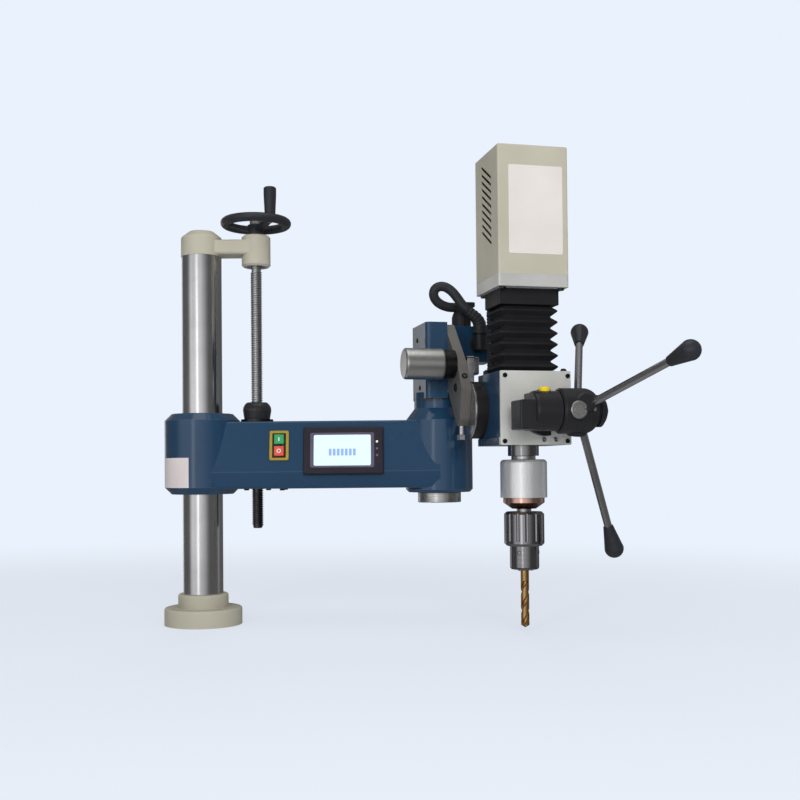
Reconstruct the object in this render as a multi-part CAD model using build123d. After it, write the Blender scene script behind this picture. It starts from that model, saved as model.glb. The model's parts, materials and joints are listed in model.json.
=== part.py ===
from build123d import *
import math
import os

# Arm type drilling and tapping machine, in millimetres.
# Origin: column axis on the underside of the base flange. +X along the arm, +Y to the back, +Z up.
# The head is drawn in its own axes, with its origin on the pivot axis, and turned by HEAD_YAW at the end.

# Fits
FIT = 0.05              # radial clearance of a shaft or slide that moves
SEAT = 0.05             # radial clearance of a piece that is pressed or bolted in
END_PLAY = 0.1          # axial play of a turning piece
GAP = 0.3               # air between neighbours that only pass each other
SMALL_ROUND = 2.0       # eased edges of turned and moulded pieces
EDGE_CHAMFER = 1.0

# Base and column
COLUMN_R = 35.0
COLUMN_BORE_R = 22.0
COLUMN_FOOT = 1.0       # column stands this far above the mounting plane
COLUMN_TOP = 649.0      # shoulder that carries the top bracket
SPIGOT_R = 24.0
SPIGOT_H = 35.0
FLANGE_R = 68.0
FLANGE_H = 30.0
FLANGE_HUB_R = 44.0
FLANGE_HUB_TOP = 54.0
FLANGE_ROUND = 4.0
BASE_BOLTS = 4
BASE_BOLT_CIRCLE_R = 56.0
BASE_BOLT_R = 5.5
BASE_BOLT_HEAD_R = 8.5
BASE_BOLT_HEAD_DEPTH = 11.0

# Top bracket
CAP_R = 36.0
CAP_H = 45.0
CAP_FLAT_R = 22.0
CAP_SLOPE_H = 11.0
SCREW_X = 97.0          # lift screw axis from the column axis
BEAM_W = 48.0
BEAM_H = 26.0
BEAM_LIFT = 2.0
BEAM_ROUND = 5.0
SCREW_BOSS_R = 25.5
SCREW_BOSS_DROP = 18.0
SCREW_BOSS_H = 55.0
SCREW_BOSS_CHAMFER = 3.0
BEARING_R = 17.5
BEARING_H = 10.0
BEARING_GROOVE = 1.5

# Lift screw and handwheel
SCREW_R = 10.0
SCREW_BOTTOM = 168.0
JOURNAL_R = 7.5
WHEEL_R = 62.5
WHEEL_RIM_R = 8.0
WHEEL_RIM_SIDES = 14
WHEEL_LIFT = 23.0       # rim centre above the bracket's screw boss
WHEEL_HUB_R = 15.0
WHEEL_HUB_H = 20.0
WHEEL_SPOKES = 3
SPOKE_W = 14.0
SPOKE_T = 7.0
WHEEL_NUT_R = 11.0
WHEEL_NUT_H = 8.0
GRIP_R = 11.0
GRIP_H = 45.0
GRIP_TAPER = 1.5
GRIP_ANGLE = -54.0      # place of the grip round the wheel
GRIP_BOLT_R = 4.0
GRIP_BOLT_HEAD_R = 6.5
GRIP_BOLT_HEAD_H = 4.0

# Arm casting
CLAMP_R = 66.0
CLAMP_BOTTOM = 229.0
CLAMP_H = 141.0
CLAMP_CHAMFER = 12.0
ARM_BOTTOM = 238.0
CREASE_Z = 267.0
ARM_TOP = 355.0
ARM_HALF_BOTTOM = 57.0
ARM_HALF_CREASE = 61.0
ARM_HALF_TOP = 43.0
ARM_ROUND = 5.0
ARM_WALL = 8.0
CAVITY_START = 122.0
CAVITY_END = 348.0
COVER_HALF_W = 46.0
COVER_T = 4.0
COVER_LEDGE = 6.0
PIVOT_X = 419.0
PIVOT_R = 59.0
PIVOT_NECK_R = 43.0
PIVOT_SHOULDER = 355.0
PIVOT_CONE_H = 21.0
PIVOT_TOP = 391.0
BUSH_WALL = 4.0
COLUMN_BUSH_H = 40.0
LUG_HALF_W = 21.0
LUG_REACH = 26.0
LUG_H = 84.0
CLAMP_SLIT = 4.0
CLAMP_BOLT_R = 6.0
CLAMP_BOLT_SPACING = 44.0
CLAMP_BOLT_HEAD_R = 9.5
CLAMP_BOLT_HEAD_H = 8.0

# Lift nut in the arm
NUT_R = 18.0
NUT_H = 60.0
NUT_FLANGE_R = 28.5
NUT_FLANGE_H = 5.0
NUT_COVER_R = 24.5
NUT_COVER_H = 30.0
NUT_COVER_MOUTH = 0.6
SCREW_ROOM = 4.0        # round the screw in the arm below the nut

# Operator screen and switch on the arm's slanted face
SCREEN_X = 252.0
SCREEN_Z = 302.0
SCREEN_W = 138.0
SCREEN_H = 83.0
SCREEN_T = 8.0
SCREEN_ROUND = 3.0
SCREEN_BACK_INSET = 5.0
SCREEN_BACK_T = 24.0
DISPLAY_W = 101.0
DISPLAY_H = 57.0
DISPLAY_SHIFT = -2.0
DISPLAY_T = 1.5
DISPLAY_RECESS = 2.0
SWITCH_X = 141.0
SWITCH_Z = 312.0
SWITCH_W = 33.0
SWITCH_H = 52.0
SWITCH_T = 3.0
SWITCH_FRAME_W = 23.0
SWITCH_FRAME_H = 43.0
SWITCH_DEPTH = 24.0
BUTTON_SIZE = 17.0
BUTTON_PITCH = 20.5
BUTTON_PROUD = 7.0
BUTTON_LENGTH = 15.0
BUTTON_TRAVEL = 3.0
BUTTON_ROUND = 1.5

# Turret
HEAD_YAW = 13.1
SPIGOT_PIVOT_R = 30.0
WASHER_T = 1.0
TURRET_LEFT = -35.0
TURRET_RIGHT = 3.0
TURRET_HALF_D = 50.0
TURRET_TOP = 524.0
TURRET_ROUND = 8.0
TURRET_NECK_H = 12.0
SHELF_RIGHT = 100.0     # housing behind the cheek plate
SHELF_FRONT = -3.0
SHELF_BOTTOM = 460.0
PIVOT_NUT_R = 38.0
PIVOT_NUT_H = 18.0
PIVOT_NUT_SLOTS = 4
PIVOT_NUT_SLOT_W = 8.0
PIVOT_NUT_SLOT_DEPTH = 4.0
CHEEK_T = 17.0
DIAL_R = 49.0
DIAL_T = 3.0
CHEEK_ROUND = 6.0
CHEEK_EDGE = 2.0        # cheek's back edge in front of the shelf
CHEEK_TOP_RISE = 75.0   # corners of the cheek, from the index and tilt axes
CHEEK_TOP_W = 28.0
CHEEK_INSET = 1.0
CHEEK_FRONT_W = 26.0
CHEEK_FRONT_RISE = 35.0
CHEEK_TOE_W = 14.0
CHEEK_TOE_DROP = 16.0
CHEEK_DROP = 30.0
CHEEK_HEEL_W = 54.0
CHEEK_HEEL_RISE = 37.0
CHEEK_FOOT_DROP = 39.0
TILT_Y = -104.0         # tilt axis, along the head's own X
TILT_Z = 368.0
TILT_SHAFT_R = 15.0
TILT_END_WALL = 5.0
INDEX_Y = -85.0         # index plunger axis
INDEX_Z = 447.0
KNOB_R = 26.5
KNOB_L = 69.7
KNOB_ROUND = 5.0
COLLAR_R = 24.0
COLLAR_L = 18.0
INDEX_PIN_R = 8.0
HOSE_R = 8.5
GLAND_R = 12.0
GLAND_FLANGE_R = 15.0
GLAND_FLANGE_T = 3.0

# Head
DRUM_R = 48.0
HEAD_LEFT = 43.0
HEAD_RIGHT = 163.0
HEAD_FRONT = -209.0
HEAD_BACK = -91.0
HEAD_BOTTOM = 307.0
HEAD_TOP = 426.0
HEAD_ROUND = 6.0
BASE_PLATE_T = 12.0
BASE_PLATE_PROUD = 1.5
FRONT_PLATE_T = 4.0
BACK_BOSS_T = 26.0
LUG_PLATE_HALF_W = 13.0
LUG_PLATE_TOP = 461.0
LUG_PLATE_T = 12.0
LUG_PLATE_ROUND = 5.0

# Spindle and quill, on one vertical axis in the head
SPINDLE_X = 102.0
SPINDLE_Y = -151.0
QUILL_R = 25.5
QUILL_BORE_R = 13.5
QUILL_BOTTOM = 290.0
QUILL_BUSH_WALL = 4.0
QUILL_BUSH_H = 28.0
SHAFT_R = 11.0
SPINDLE_BEARING_R = 19.0
SPINDLE_BEARING_H = 12.0
FEED_TRAVEL = 70.0

# Feed gear train: capstan pinion, idler, rack on the quill
GEAR_MODULE = 2.5
PINION_TEETH = 20
IDLER_TEETH = 22
GEAR_W = 16.0
GEAR_SIDE_PLAY = 1.0
GEAR_TIP_PLAY = 0.6
BACKLASH = 0.3
PRESSURE_ANGLE = 20.0
FEED_Z = 359.0
RACK_PITCH_DEPTH = 21.5  # rack pitch line in front of the spindle axis
RACK_END = 22.0         # rack past the gear's middle at each end, clear of its tips
IDLER_PIN_R = 7.0
IDLER_PIN_L = 44.0
PINION_SHAFT_R = 9.0

# Feed housing and capstan
HOUSING_R = 31.5
HOUSING_LEFT = 77.0
HOUSING_RIGHT = 119.5
HOUSING_FLANGE_R = 38.0
HOUSING_FLANGE_X = 116.0
HOUSING_FLANGE_RIGHT = 127.0
HOUSING_FLANGE_T = 3.0
HOUSING_ROUND = 5.0
STOP_BOX_LEFT = 52.0
STOP_BOX_RIGHT = 88.0
STOP_BOX_FRONT = 23.0
STOP_BOX_BACK = 22.0
STOP_BOX_H = 46.0
STOP_BOX_WALL = 10.0
STOP_BOX_ROUND = 3.0
PLUG_X = 100.0
PLUG_R = 8.5
PLUG_H = 6.0
PLUG_SEAT = 3.0
CAPSTAN_PLAY = 1.5
CAPSTAN_R = 36.0
CAPSTAN_L = 62.0
CAPSTAN_BEVEL = 3.0
CAPSTAN_RIM_R = 25.5
CAPSTAN_RIM_L = 6.5
CAPSTAN_GROOVE_R = 22.0
CAPSTAN_GROOVE_L = 4.0
END_CAP_R = 20.0
END_CAP_L = 10.5
LEVER_X = 155.0         # where the lever axes meet the capstan axis
LEVERS = 3
LEVER_START = -10.8     # first lever, from straight down towards the front
LEVER_LEAN = 19.4
LEVER_L = 254.0
LEVER_R = 6.2
LEVER_ROOT = 22.0
LOBE_R = 17.0
LOBE_REACH = 39.5
LOBE_ROUND = 6.0
LEVER_KNOB_L = 55.0
LEVER_KNOB_R = 15.5
LEVER_KNOB_ROOT_R = 8.0
CLUTCH_X = 142.0
CLUTCH_R = 14.0
CLUTCH_T = 8.0
CLUTCH_PROUD = 4.0

# Bellows and motor
BELLOWS_X = 101.5
BELLOWS_W = 101.0
BELLOWS_D = 76.0
BELLOWS_FOLD_DEPTH = 9.5
BELLOWS_WALL = 2.0
BELLOWS_FOLDS = 6
BELLOWS_COLLAR_H = 26.0
MOTOR_BASE_Z = 562.0
MOTOR_BASE_H = 20.0
MOTOR_BASE_FLOOR = 10.0
MOTOR_BASE_WALL = 6.0
MOTOR_W = 120.0
MOTOR_D = 116.0
MOTOR_TOP = 791.0
COVER_WALL = 2.0
COVER_ROUND = 3.0
LOUVRES = 10
LOUVRE_L = 58.0
LOUVRE_W = 5.0
LOUVRE_PITCH = 12.0
LOUVRE_TILT = 31.0
LOUVRE_TOP = 758.0
SERVO_W = 80.0
SERVO_BOTTOM = 640.0
SERVO_TOP_ROOM = 19.0
SERVO_ROUND = 8.0
STAND_R = 36.0
STAND_WALL = 8.0
COUPLING_R = 20.0
COUPLING_H = 46.0
MOTOR_SHAFT_R = 9.5

# Tool stack under the quill
NOSE_R = 20.0
TAP_SLEEVE_R = 38.5
TAP_SLEEVE_WALL = 8.0
TAP_SLEEVE_TOP = 284.0
TAP_SLEEVE_BOTTOM = 221.0
TAP_SLEEVE_ROUND = 6.0
COLLET_R = 34.0
COLLET_NOSE_R = 20.0
COLLET_RIM_H = 8.0
COLLET_BOTTOM = 203.0
ARBOR_R = 12.0
CHUCK_TOP = 198.0
CHUCK_SLEEVE_R = 33.0
CHUCK_SLEEVE_BOTTOM = 142.0
CHUCK_FLUTES = 14
CHUCK_FLUTE_R = 3.0
CHUCK_SLEEVE_CHAMFER = 4.0
CHUCK_CORE_R = 22.0
CHUCK_NOSE_R = 24.0
CHUCK_BOTTOM = 103.0
CHUCK_NOSE_ROUND = 4.0
JAWS = 3
JAW_R = 4.2
JAW_LEAN = 12.0
JAW_TOP = 136.0
JAW_PROUD = 2.0
JAW_TRAVEL = 5.0
JAW_END_ROOM = 3.0
DRILL_R = 6.85
DRILL_TIP = 7.0
DRILL_FLUTE_TOP = 84.0
DRILL_SHANK_TOP = 125.0
DRILL_FLUTES = 2
DRILL_PITCH = 62.0
DRILL_POINT_H = 4.0

# Values worked out from the ones above
SCREW_BOSS_BOTTOM = COLUMN_TOP - SCREW_BOSS_DROP
SCREW_BOSS_TOP = SCREW_BOSS_BOTTOM + SCREW_BOSS_H
WHEEL_Z = SCREW_BOSS_TOP + WHEEL_LIFT
WHEEL_HUB_BOTTOM = SCREW_BOSS_TOP + GAP
WHEEL_HUB_TOP = WHEEL_HUB_BOTTOM + WHEEL_HUB_H
CLAMP_TOP = CLAMP_BOTTOM + CLAMP_H
FACE_LEAN = math.atan2(ARM_HALF_CREASE - ARM_HALF_TOP, ARM_TOP - CREASE_Z)
COLUMN_BUSH_R = COLUMN_R + BUSH_WALL
PIVOT_BUSH_R = SPIGOT_PIVOT_R + FIT + BUSH_WALL
TURRET_BOTTOM = PIVOT_TOP + WASHER_T
CHEEK_RIGHT = TURRET_RIGHT + CHEEK_T
DRUM_LEFT = CHEEK_RIGHT + DIAL_T + GAP
PINION_R = GEAR_MODULE * PINION_TEETH / 2
IDLER_R = GEAR_MODULE * IDLER_TEETH / 2
RACK_PITCH_Y = SPINDLE_Y - RACK_PITCH_DEPTH
IDLER_Y = RACK_PITCH_Y - IDLER_R
FEED_Y = IDLER_Y - IDLER_R - PINION_R
GEAR_X = SPINDLE_X - GEAR_W / 2
QUILL_TOP = MOTOR_BASE_Z
CAPSTAN_LEFT = HOUSING_RIGHT + CAPSTAN_PLAY
QUILL_BUSH_R = QUILL_R + FIT + QUILL_BUSH_WALL
BELLOWS_BOTTOM = HEAD_TOP
BELLOWS_TOP = MOTOR_BASE_Z - BELLOWS_COLLAR_H
COVER_BOTTOM = MOTOR_BASE_Z + MOTOR_BASE_H
SERVO_H = MOTOR_TOP - COVER_WALL - SERVO_TOP_ROOM - SERVO_BOTTOM
JAW_RUNOUT = 4 * JAW_R  # jaws and their channels are cut this far past the nose

CENTRE_LOW = (Align.CENTER, Align.CENTER, Align.MIN)
IN_HEAD = Location((PIVOT_X, 0, 0), (0, 0, HEAD_YAW))


def rod_z(r, z0, z1, x=0.0, y=0.0):
    return Pos(x, y, z0) * Cylinder(r, z1 - z0, align=CENTRE_LOW)


def rod_x(r, x0, x1, y, z):
    return Pos(x0, y, z) * Rot(0, 90, 0) * Cylinder(r, x1 - x0, align=CENTRE_LOW)


def rod_y(r, y0, y1, x, z):
    return Pos(x, y1, z) * Rot(90, 0, 0) * Cylinder(r, y1 - y0, align=CENTRE_LOW)


def block(x0, x1, y0, y1, z0, z1):
    size = Box(x1 - x0, y1 - y0, z1 - z0, align=(Align.MIN, Align.MIN, Align.MIN))
    return Pos(x0, y0, z0) * size


def turned_z(points, x=0.0, y=0.0):
    profile = make_face(Polyline(*points, close=True))
    return Pos(x, y, 0) * revolve(Plane.XZ * profile, Axis.Z)


def upright_edges(solid):
    return solid.edges().filter_by(Axis.Z)


def save(name, *solids):
    shape = solids[0] if len(solids) == 1 else Compound(children=list(solids))
    export_step(shape, f"parts/{name}.step")


def save_in_head(name, *solids):
    save(name, *[IN_HEAD * solid for solid in solids])


# Base flange and column

def base_flange():
    foot = rod_z(FLANGE_R, 0, FLANGE_H)
    foot = fillet(foot.edges().group_by(Axis.Z)[-1], FLANGE_ROUND)
    hub = rod_z(FLANGE_HUB_R, 0, FLANGE_HUB_TOP)
    hub = fillet(hub.edges().group_by(Axis.Z)[-1], FLANGE_ROUND)
    body = foot + hub
    body -= rod_z(COLUMN_R + SEAT, -1, FLANGE_HUB_TOP + 1)
    for spot in PolarLocations(BASE_BOLT_CIRCLE_R, BASE_BOLTS, start_angle=45):
        body -= spot * rod_z(BASE_BOLT_R, -1, FLANGE_H + 1)
        body -= spot * rod_z(BASE_BOLT_HEAD_R, FLANGE_H - BASE_BOLT_HEAD_DEPTH, FLANGE_H + 1)
    return body


def column():
    points = [
        (COLUMN_BORE_R, COLUMN_FOOT),
        (COLUMN_R, COLUMN_FOOT),
        (COLUMN_R, COLUMN_TOP),
        (SPIGOT_R, COLUMN_TOP),
        (SPIGOT_R, COLUMN_TOP + SPIGOT_H),
        (COLUMN_BORE_R, COLUMN_TOP + SPIGOT_H),
    ]
    return turned_z(points)


# Top bracket with its screw bearings

def top_bracket():
    bottom = COLUMN_TOP + END_PLAY
    top = COLUMN_TOP + CAP_H
    cap = turned_z([
        (0, bottom),
        (CAP_R, bottom),
        (CAP_R, top - CAP_SLOPE_H),
        (CAP_FLAT_R, top),
        (0, top),
    ])
    cap = fillet(cap.edges().filter_by(GeomType.CIRCLE).group_by(Axis.Z)[-2], BEAM_ROUND)
    beam_z = COLUMN_TOP + BEAM_LIFT
    beam = block(0, SCREW_X, -BEAM_W / 2, BEAM_W / 2, beam_z, beam_z + BEAM_H)
    beam = fillet(beam.edges().filter_by(Axis.X), BEAM_ROUND)
    boss = rod_z(SCREW_BOSS_R, SCREW_BOSS_BOTTOM, SCREW_BOSS_TOP, SCREW_X)
    boss = chamfer(boss.edges().filter_by(GeomType.CIRCLE), SCREW_BOSS_CHAMFER)
    body = cap + beam + boss
    body -= rod_z(SPIGOT_R + FIT, bottom - 1, COLUMN_TOP + SPIGOT_H + END_PLAY)
    body -= rod_z(JOURNAL_R + GAP, SCREW_BOSS_BOTTOM - 1, SCREW_BOSS_TOP + 1, SCREW_X)
    pocket_r = BEARING_R + SEAT
    body -= rod_z(pocket_r, SCREW_BOSS_BOTTOM - 1, SCREW_BOSS_BOTTOM + BEARING_H, SCREW_X)
    body -= rod_z(pocket_r, SCREW_BOSS_TOP - BEARING_H, SCREW_BOSS_TOP + 1, SCREW_X)
    return body


def thrust_bearing(z):
    third = BEARING_H / 3
    points = [
        (JOURNAL_R + FIT, z),
        (BEARING_R, z),
        (BEARING_R, z + third),
        (BEARING_R - BEARING_GROOVE, z + third),
        (BEARING_R - BEARING_GROOVE, z + 2 * third),
        (BEARING_R, z + 2 * third),
        (BEARING_R, z + BEARING_H),
        (JOURNAL_R + FIT, z + BEARING_H),
    ]
    return turned_z(points, SCREW_X)


# Lift screw, handwheel and grip

def lift_screw():
    shoulder = SCREW_BOSS_BOTTOM - END_PLAY
    top = WHEEL_HUB_TOP + WHEEL_NUT_H
    tip = SCREW_R - JOURNAL_R
    points = [
        (0, SCREW_BOTTOM),
        (SCREW_R - tip, SCREW_BOTTOM),
        (SCREW_R, SCREW_BOTTOM + tip),
        (SCREW_R, shoulder),
        (JOURNAL_R, shoulder),
        (JOURNAL_R, top),
        (0, top),
    ]
    return turned_z(points, SCREW_X)


def grip_place():
    reach = WHEEL_R - WHEEL_RIM_R * 1.5
    turn = math.radians(GRIP_ANGLE)
    return SCREW_X + reach * math.cos(turn), reach * math.sin(turn)


def handwheel_rim():
    ring_r = WHEEL_R - WHEEL_RIM_R
    points = []
    for i in range(WHEEL_RIM_SIDES):
        turn = 2 * math.pi * (i + 0.5) / WHEEL_RIM_SIDES
        points.append((ring_r + WHEEL_RIM_R * math.cos(turn), WHEEL_Z + WHEEL_RIM_R * math.sin(turn)))
    return turned_z(points, SCREW_X)


def handwheel():
    ring_r = WHEEL_R - WHEEL_RIM_R
    hub = rod_z(WHEEL_HUB_R, WHEEL_HUB_BOTTOM, WHEEL_HUB_TOP, SCREW_X)
    wheel = fillet(hub.edges().filter_by(GeomType.CIRCLE), SMALL_ROUND)
    hub_mid = WHEEL_HUB_BOTTOM + WHEEL_HUB_H / 2
    for spot in PolarLocations(0, WHEEL_SPOKES, start_angle=GRIP_ANGLE):
        root = Plane((WHEEL_NUT_R, 0, hub_mid), (0, 1, 0), (1, 0, 0)) * Rectangle(SPOKE_W, SPOKE_T)
        end = Plane((ring_r, 0, WHEEL_Z), (0, 1, 0), (1, 0, 0)) * Rectangle(SPOKE_W * 0.8, SPOKE_T)
        wheel += Pos(SCREW_X, 0, 0) * spot * loft([root, end], ruled=True)
    wheel += handwheel_rim()
    x, y = grip_place()
    wheel += rod_z(GRIP_R - GRIP_TAPER, WHEEL_Z, grip_bottom() - END_PLAY, x, y)
    wheel -= rod_z(GRIP_BOLT_R + SEAT, WHEEL_Z - 2 * WHEEL_RIM_R, WHEEL_Z + 2 * WHEEL_RIM_R, x, y)
    return wheel - rod_z(JOURNAL_R + SEAT, WHEEL_HUB_BOTTOM - 1, WHEEL_HUB_TOP + 1, SCREW_X)


def handwheel_nut():
    nut = Pos(SCREW_X, 0, WHEEL_HUB_TOP) * extrude(RegularPolygon(WHEEL_NUT_R, 6), WHEEL_NUT_H)
    return nut - rod_z(JOURNAL_R + SEAT, WHEEL_HUB_TOP - 1, WHEEL_HUB_TOP + WHEEL_NUT_H + 1, SCREW_X)


def grip_bottom():
    return WHEEL_Z + WHEEL_RIM_R + EDGE_CHAMFER + END_PLAY


def wheel_grip():
    x, y = grip_place()
    low = grip_bottom()
    top = low + GRIP_H
    points = [
        (GRIP_BOLT_R + FIT, low),
        (GRIP_R - GRIP_TAPER, low),
        (GRIP_R, low + GRIP_H * 0.7),
        (GRIP_R, top - SMALL_ROUND),
        (GRIP_R - SMALL_ROUND, top),
        (GRIP_BOLT_HEAD_R + GAP, top),
        (GRIP_BOLT_HEAD_R + GAP, top - GRIP_BOLT_HEAD_H - END_PLAY),
        (GRIP_BOLT_R + FIT, top - GRIP_BOLT_HEAD_H - END_PLAY),
    ]
    return turned_z(points, x, y)


def grip_bolt():
    x, y = grip_place()
    top = grip_bottom() + GRIP_H
    low = WHEEL_Z - WHEEL_RIM_R
    return rod_z(GRIP_BOLT_R, low, top, x, y) + rod_z(GRIP_BOLT_HEAD_R, top - GRIP_BOLT_HEAD_H, top, x, y)


# Arm casting and what is bolted to it

def arm_section():
    points = [
        (-ARM_HALF_BOTTOM, ARM_BOTTOM),
        (-ARM_HALF_CREASE, CREASE_Z),
        (-ARM_HALF_TOP, ARM_TOP),
        (ARM_HALF_TOP, ARM_TOP),
        (ARM_HALF_CREASE, CREASE_Z),
        (ARM_HALF_BOTTOM, ARM_BOTTOM),
    ]
    return make_face(Polyline(*points, close=True))


def face_plane(x, z):
    y = -ARM_HALF_CREASE + (z - CREASE_Z) * math.tan(FACE_LEAN)
    normal = (0, -math.cos(FACE_LEAN), math.sin(FACE_LEAN))
    return Plane((x, y, z), (1, 0, 0), normal)


def arm_cavity():
    inner = offset(arm_section(), -ARM_WALL)
    room = Pos(CAVITY_START, 0, 0) * extrude(Plane.YZ * inner, CAVITY_END - CAVITY_START)
    mouth_half = COVER_HALF_W - COVER_LEDGE
    mouth = block(CAVITY_START + COVER_LEDGE, CAVITY_END - COVER_LEDGE, -mouth_half, mouth_half,
                  ARM_BOTTOM - 1, ARM_BOTTOM + ARM_WALL + 1)
    rebate = block(CAVITY_START, CAVITY_END, -COVER_HALF_W, COVER_HALF_W,
                   ARM_BOTTOM - 1, ARM_BOTTOM + COVER_T)
    return room + mouth + rebate


def clamp_bolt_heights():
    middle = CLAMP_BOTTOM + CLAMP_H / 2
    return middle - CLAMP_BOLT_SPACING / 2, middle + CLAMP_BOLT_SPACING / 2


def lug_bolt_y():
    return CLAMP_R + LUG_REACH / 2


def arm_casting():
    clamp = rod_z(CLAMP_R, CLAMP_BOTTOM, CLAMP_TOP)
    clamp = chamfer(clamp.edges().filter_by(GeomType.CIRCLE), CLAMP_CHAMFER)
    beam = extrude(Plane.YZ * arm_section(), PIVOT_X)
    beam = fillet(beam.edges().filter_by(Axis.X), ARM_ROUND)
    boss = turned_z([
        (0, CLAMP_BOTTOM),
        (PIVOT_R - ARM_ROUND, CLAMP_BOTTOM),
        (PIVOT_R, CLAMP_BOTTOM + ARM_ROUND),
        (PIVOT_R, PIVOT_SHOULDER),
        (PIVOT_NECK_R, PIVOT_SHOULDER + PIVOT_CONE_H),
        (PIVOT_NECK_R, PIVOT_TOP),
        (0, PIVOT_TOP),
    ], PIVOT_X)
    lug_z = CLAMP_BOTTOM + (CLAMP_H - LUG_H) / 2
    lug_end = CLAMP_R + LUG_REACH
    lug = block(-LUG_HALF_W, LUG_HALF_W, CLAMP_R - 2 * LUG_REACH, lug_end, lug_z, lug_z + LUG_H)
    lug = fillet(lug.edges().group_by(Axis.Y)[-1], ARM_ROUND)
    arm = clamp + beam + boss + lug
    arm -= rod_z(COLUMN_BUSH_R + SEAT, CLAMP_BOTTOM - 1, CLAMP_TOP + 1)
    arm -= block(-CLAMP_SLIT / 2, CLAMP_SLIT / 2, COLUMN_R, lug_end + 1, CLAMP_BOTTOM - 1, CLAMP_TOP + 1)
    for z in clamp_bolt_heights():
        arm -= rod_x(CLAMP_BOLT_R + GAP, -LUG_HALF_W - 1, LUG_HALF_W + 1, lug_bolt_y(), z)
    arm -= rod_z(NUT_R + SEAT, ARM_TOP - NUT_H, ARM_TOP + 1, SCREW_X)
    arm -= rod_z(SCREW_R + SCREW_ROOM, ARM_BOTTOM - 1, ARM_TOP, SCREW_X)
    arm -= rod_z(PIVOT_BUSH_R + SEAT, CLAMP_BOTTOM - 1, PIVOT_TOP + 1, PIVOT_X)
    arm -= arm_cavity()
    arm -= screen_opening()
    arm -= switch_opening()
    return arm


def arm_bottom_cover():
    return block(CAVITY_START + GAP, CAVITY_END - GAP, -COVER_HALF_W + GAP, COVER_HALF_W - GAP,
                 ARM_BOTTOM, ARM_BOTTOM + COVER_T)


def column_bush(z):
    top = z + COLUMN_BUSH_H
    return rod_z(COLUMN_BUSH_R, z, top) - rod_z(COLUMN_R + FIT, z - 1, top + 1)


def column_bushes():
    slit = block(-CLAMP_SLIT / 2, CLAMP_SLIT / 2, 0, CLAMP_R, CLAMP_BOTTOM - 1, CLAMP_TOP + 1)
    lower = column_bush(CLAMP_BOTTOM) - slit
    upper = column_bush(CLAMP_TOP - COLUMN_BUSH_H) - slit
    return lower, upper


def clamp_bolts():
    bolts = []
    for z in clamp_bolt_heights():
        shank = rod_x(CLAMP_BOLT_R, -LUG_HALF_W, LUG_HALF_W + CLAMP_BOLT_HEAD_H, lug_bolt_y(), z)
        head = Pos(-LUG_HALF_W - CLAMP_BOLT_HEAD_H, lug_bolt_y(), z) * Rot(0, 90, 0) * extrude(
            RegularPolygon(CLAMP_BOLT_HEAD_R, 6), CLAMP_BOLT_HEAD_H)
        nut = Pos(LUG_HALF_W, lug_bolt_y(), z) * Rot(0, 90, 0) * extrude(
            RegularPolygon(CLAMP_BOLT_HEAD_R, 6), CLAMP_BOLT_HEAD_H)
        bolts.append(shank + head + nut)
    return bolts


def lift_nut():
    body = rod_z(NUT_R, ARM_TOP - NUT_H, ARM_TOP, SCREW_X)
    body += rod_z(NUT_FLANGE_R, ARM_TOP, ARM_TOP + NUT_FLANGE_H, SCREW_X)
    return body - rod_z(SCREW_R + FIT, ARM_TOP - NUT_H - 1, ARM_TOP + NUT_FLANGE_H + 1, SCREW_X)


def nut_cover():
    low = ARM_TOP + NUT_FLANGE_H
    top = low + NUT_COVER_H
    mouth_r = SCREW_R + NUT_COVER_MOUTH
    brow_r = (NUT_COVER_R + mouth_r) / 2
    waist = (NUT_COVER_R, low + NUT_COVER_H * 0.4)
    bulge = (brow_r + (NUT_COVER_R - brow_r) * 0.75, low + NUT_COVER_H * 0.82)
    outline = Polyline((mouth_r, top), (mouth_r, low), (NUT_COVER_R - SMALL_ROUND, low), waist)
    crown = ThreePointArc(waist, bulge, (brow_r, top))
    rim = Line((brow_r, top), (mouth_r, top))
    profile = make_face(outline + crown + rim)
    return Pos(SCREW_X, 0, 0) * revolve(Plane.XZ * profile, Axis.Z)


# Operator screen and switch

def screen_back_size():
    return SCREEN_W - 2 * SCREEN_BACK_INSET, SCREEN_H - 2 * SCREEN_BACK_INSET


def screen_opening():
    w, h = screen_back_size()
    hole = Box(w + 2 * GAP, h + 2 * GAP, SCREEN_BACK_T + ARM_WALL)
    return face_plane(SCREEN_X, SCREEN_Z).location * hole


def screen_housing():
    bezel = Box(SCREEN_W, SCREEN_H, SCREEN_T, align=CENTRE_LOW)
    bezel = fillet(bezel.edges().group_by(Axis.Z)[-1] + bezel.edges().filter_by(Axis.Z), SCREEN_ROUND)
    w, h = screen_back_size()
    back = Pos(0, 0, -SCREEN_BACK_T) * Box(w, h, SCREEN_BACK_T, align=CENTRE_LOW)
    window = Pos(DISPLAY_SHIFT, 0, SCREEN_T - DISPLAY_RECESS) * Box(
        DISPLAY_W, DISPLAY_H, DISPLAY_RECESS + 1, align=CENTRE_LOW)
    return face_plane(SCREEN_X, SCREEN_Z).location * (bezel + back - window)


def screen_display():
    glass = Pos(DISPLAY_SHIFT, 0, SCREEN_T - DISPLAY_RECESS) * Box(
        DISPLAY_W - 2 * SEAT, DISPLAY_H - 2 * SEAT, DISPLAY_T, align=CENTRE_LOW)
    return face_plane(SCREEN_X, SCREEN_Z).location * glass


def switch_opening():
    hole = Box(SWITCH_FRAME_W + GAP, SWITCH_FRAME_H + GAP, 2 * SWITCH_DEPTH)
    return face_plane(SWITCH_X, SWITCH_Z).location * hole


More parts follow.
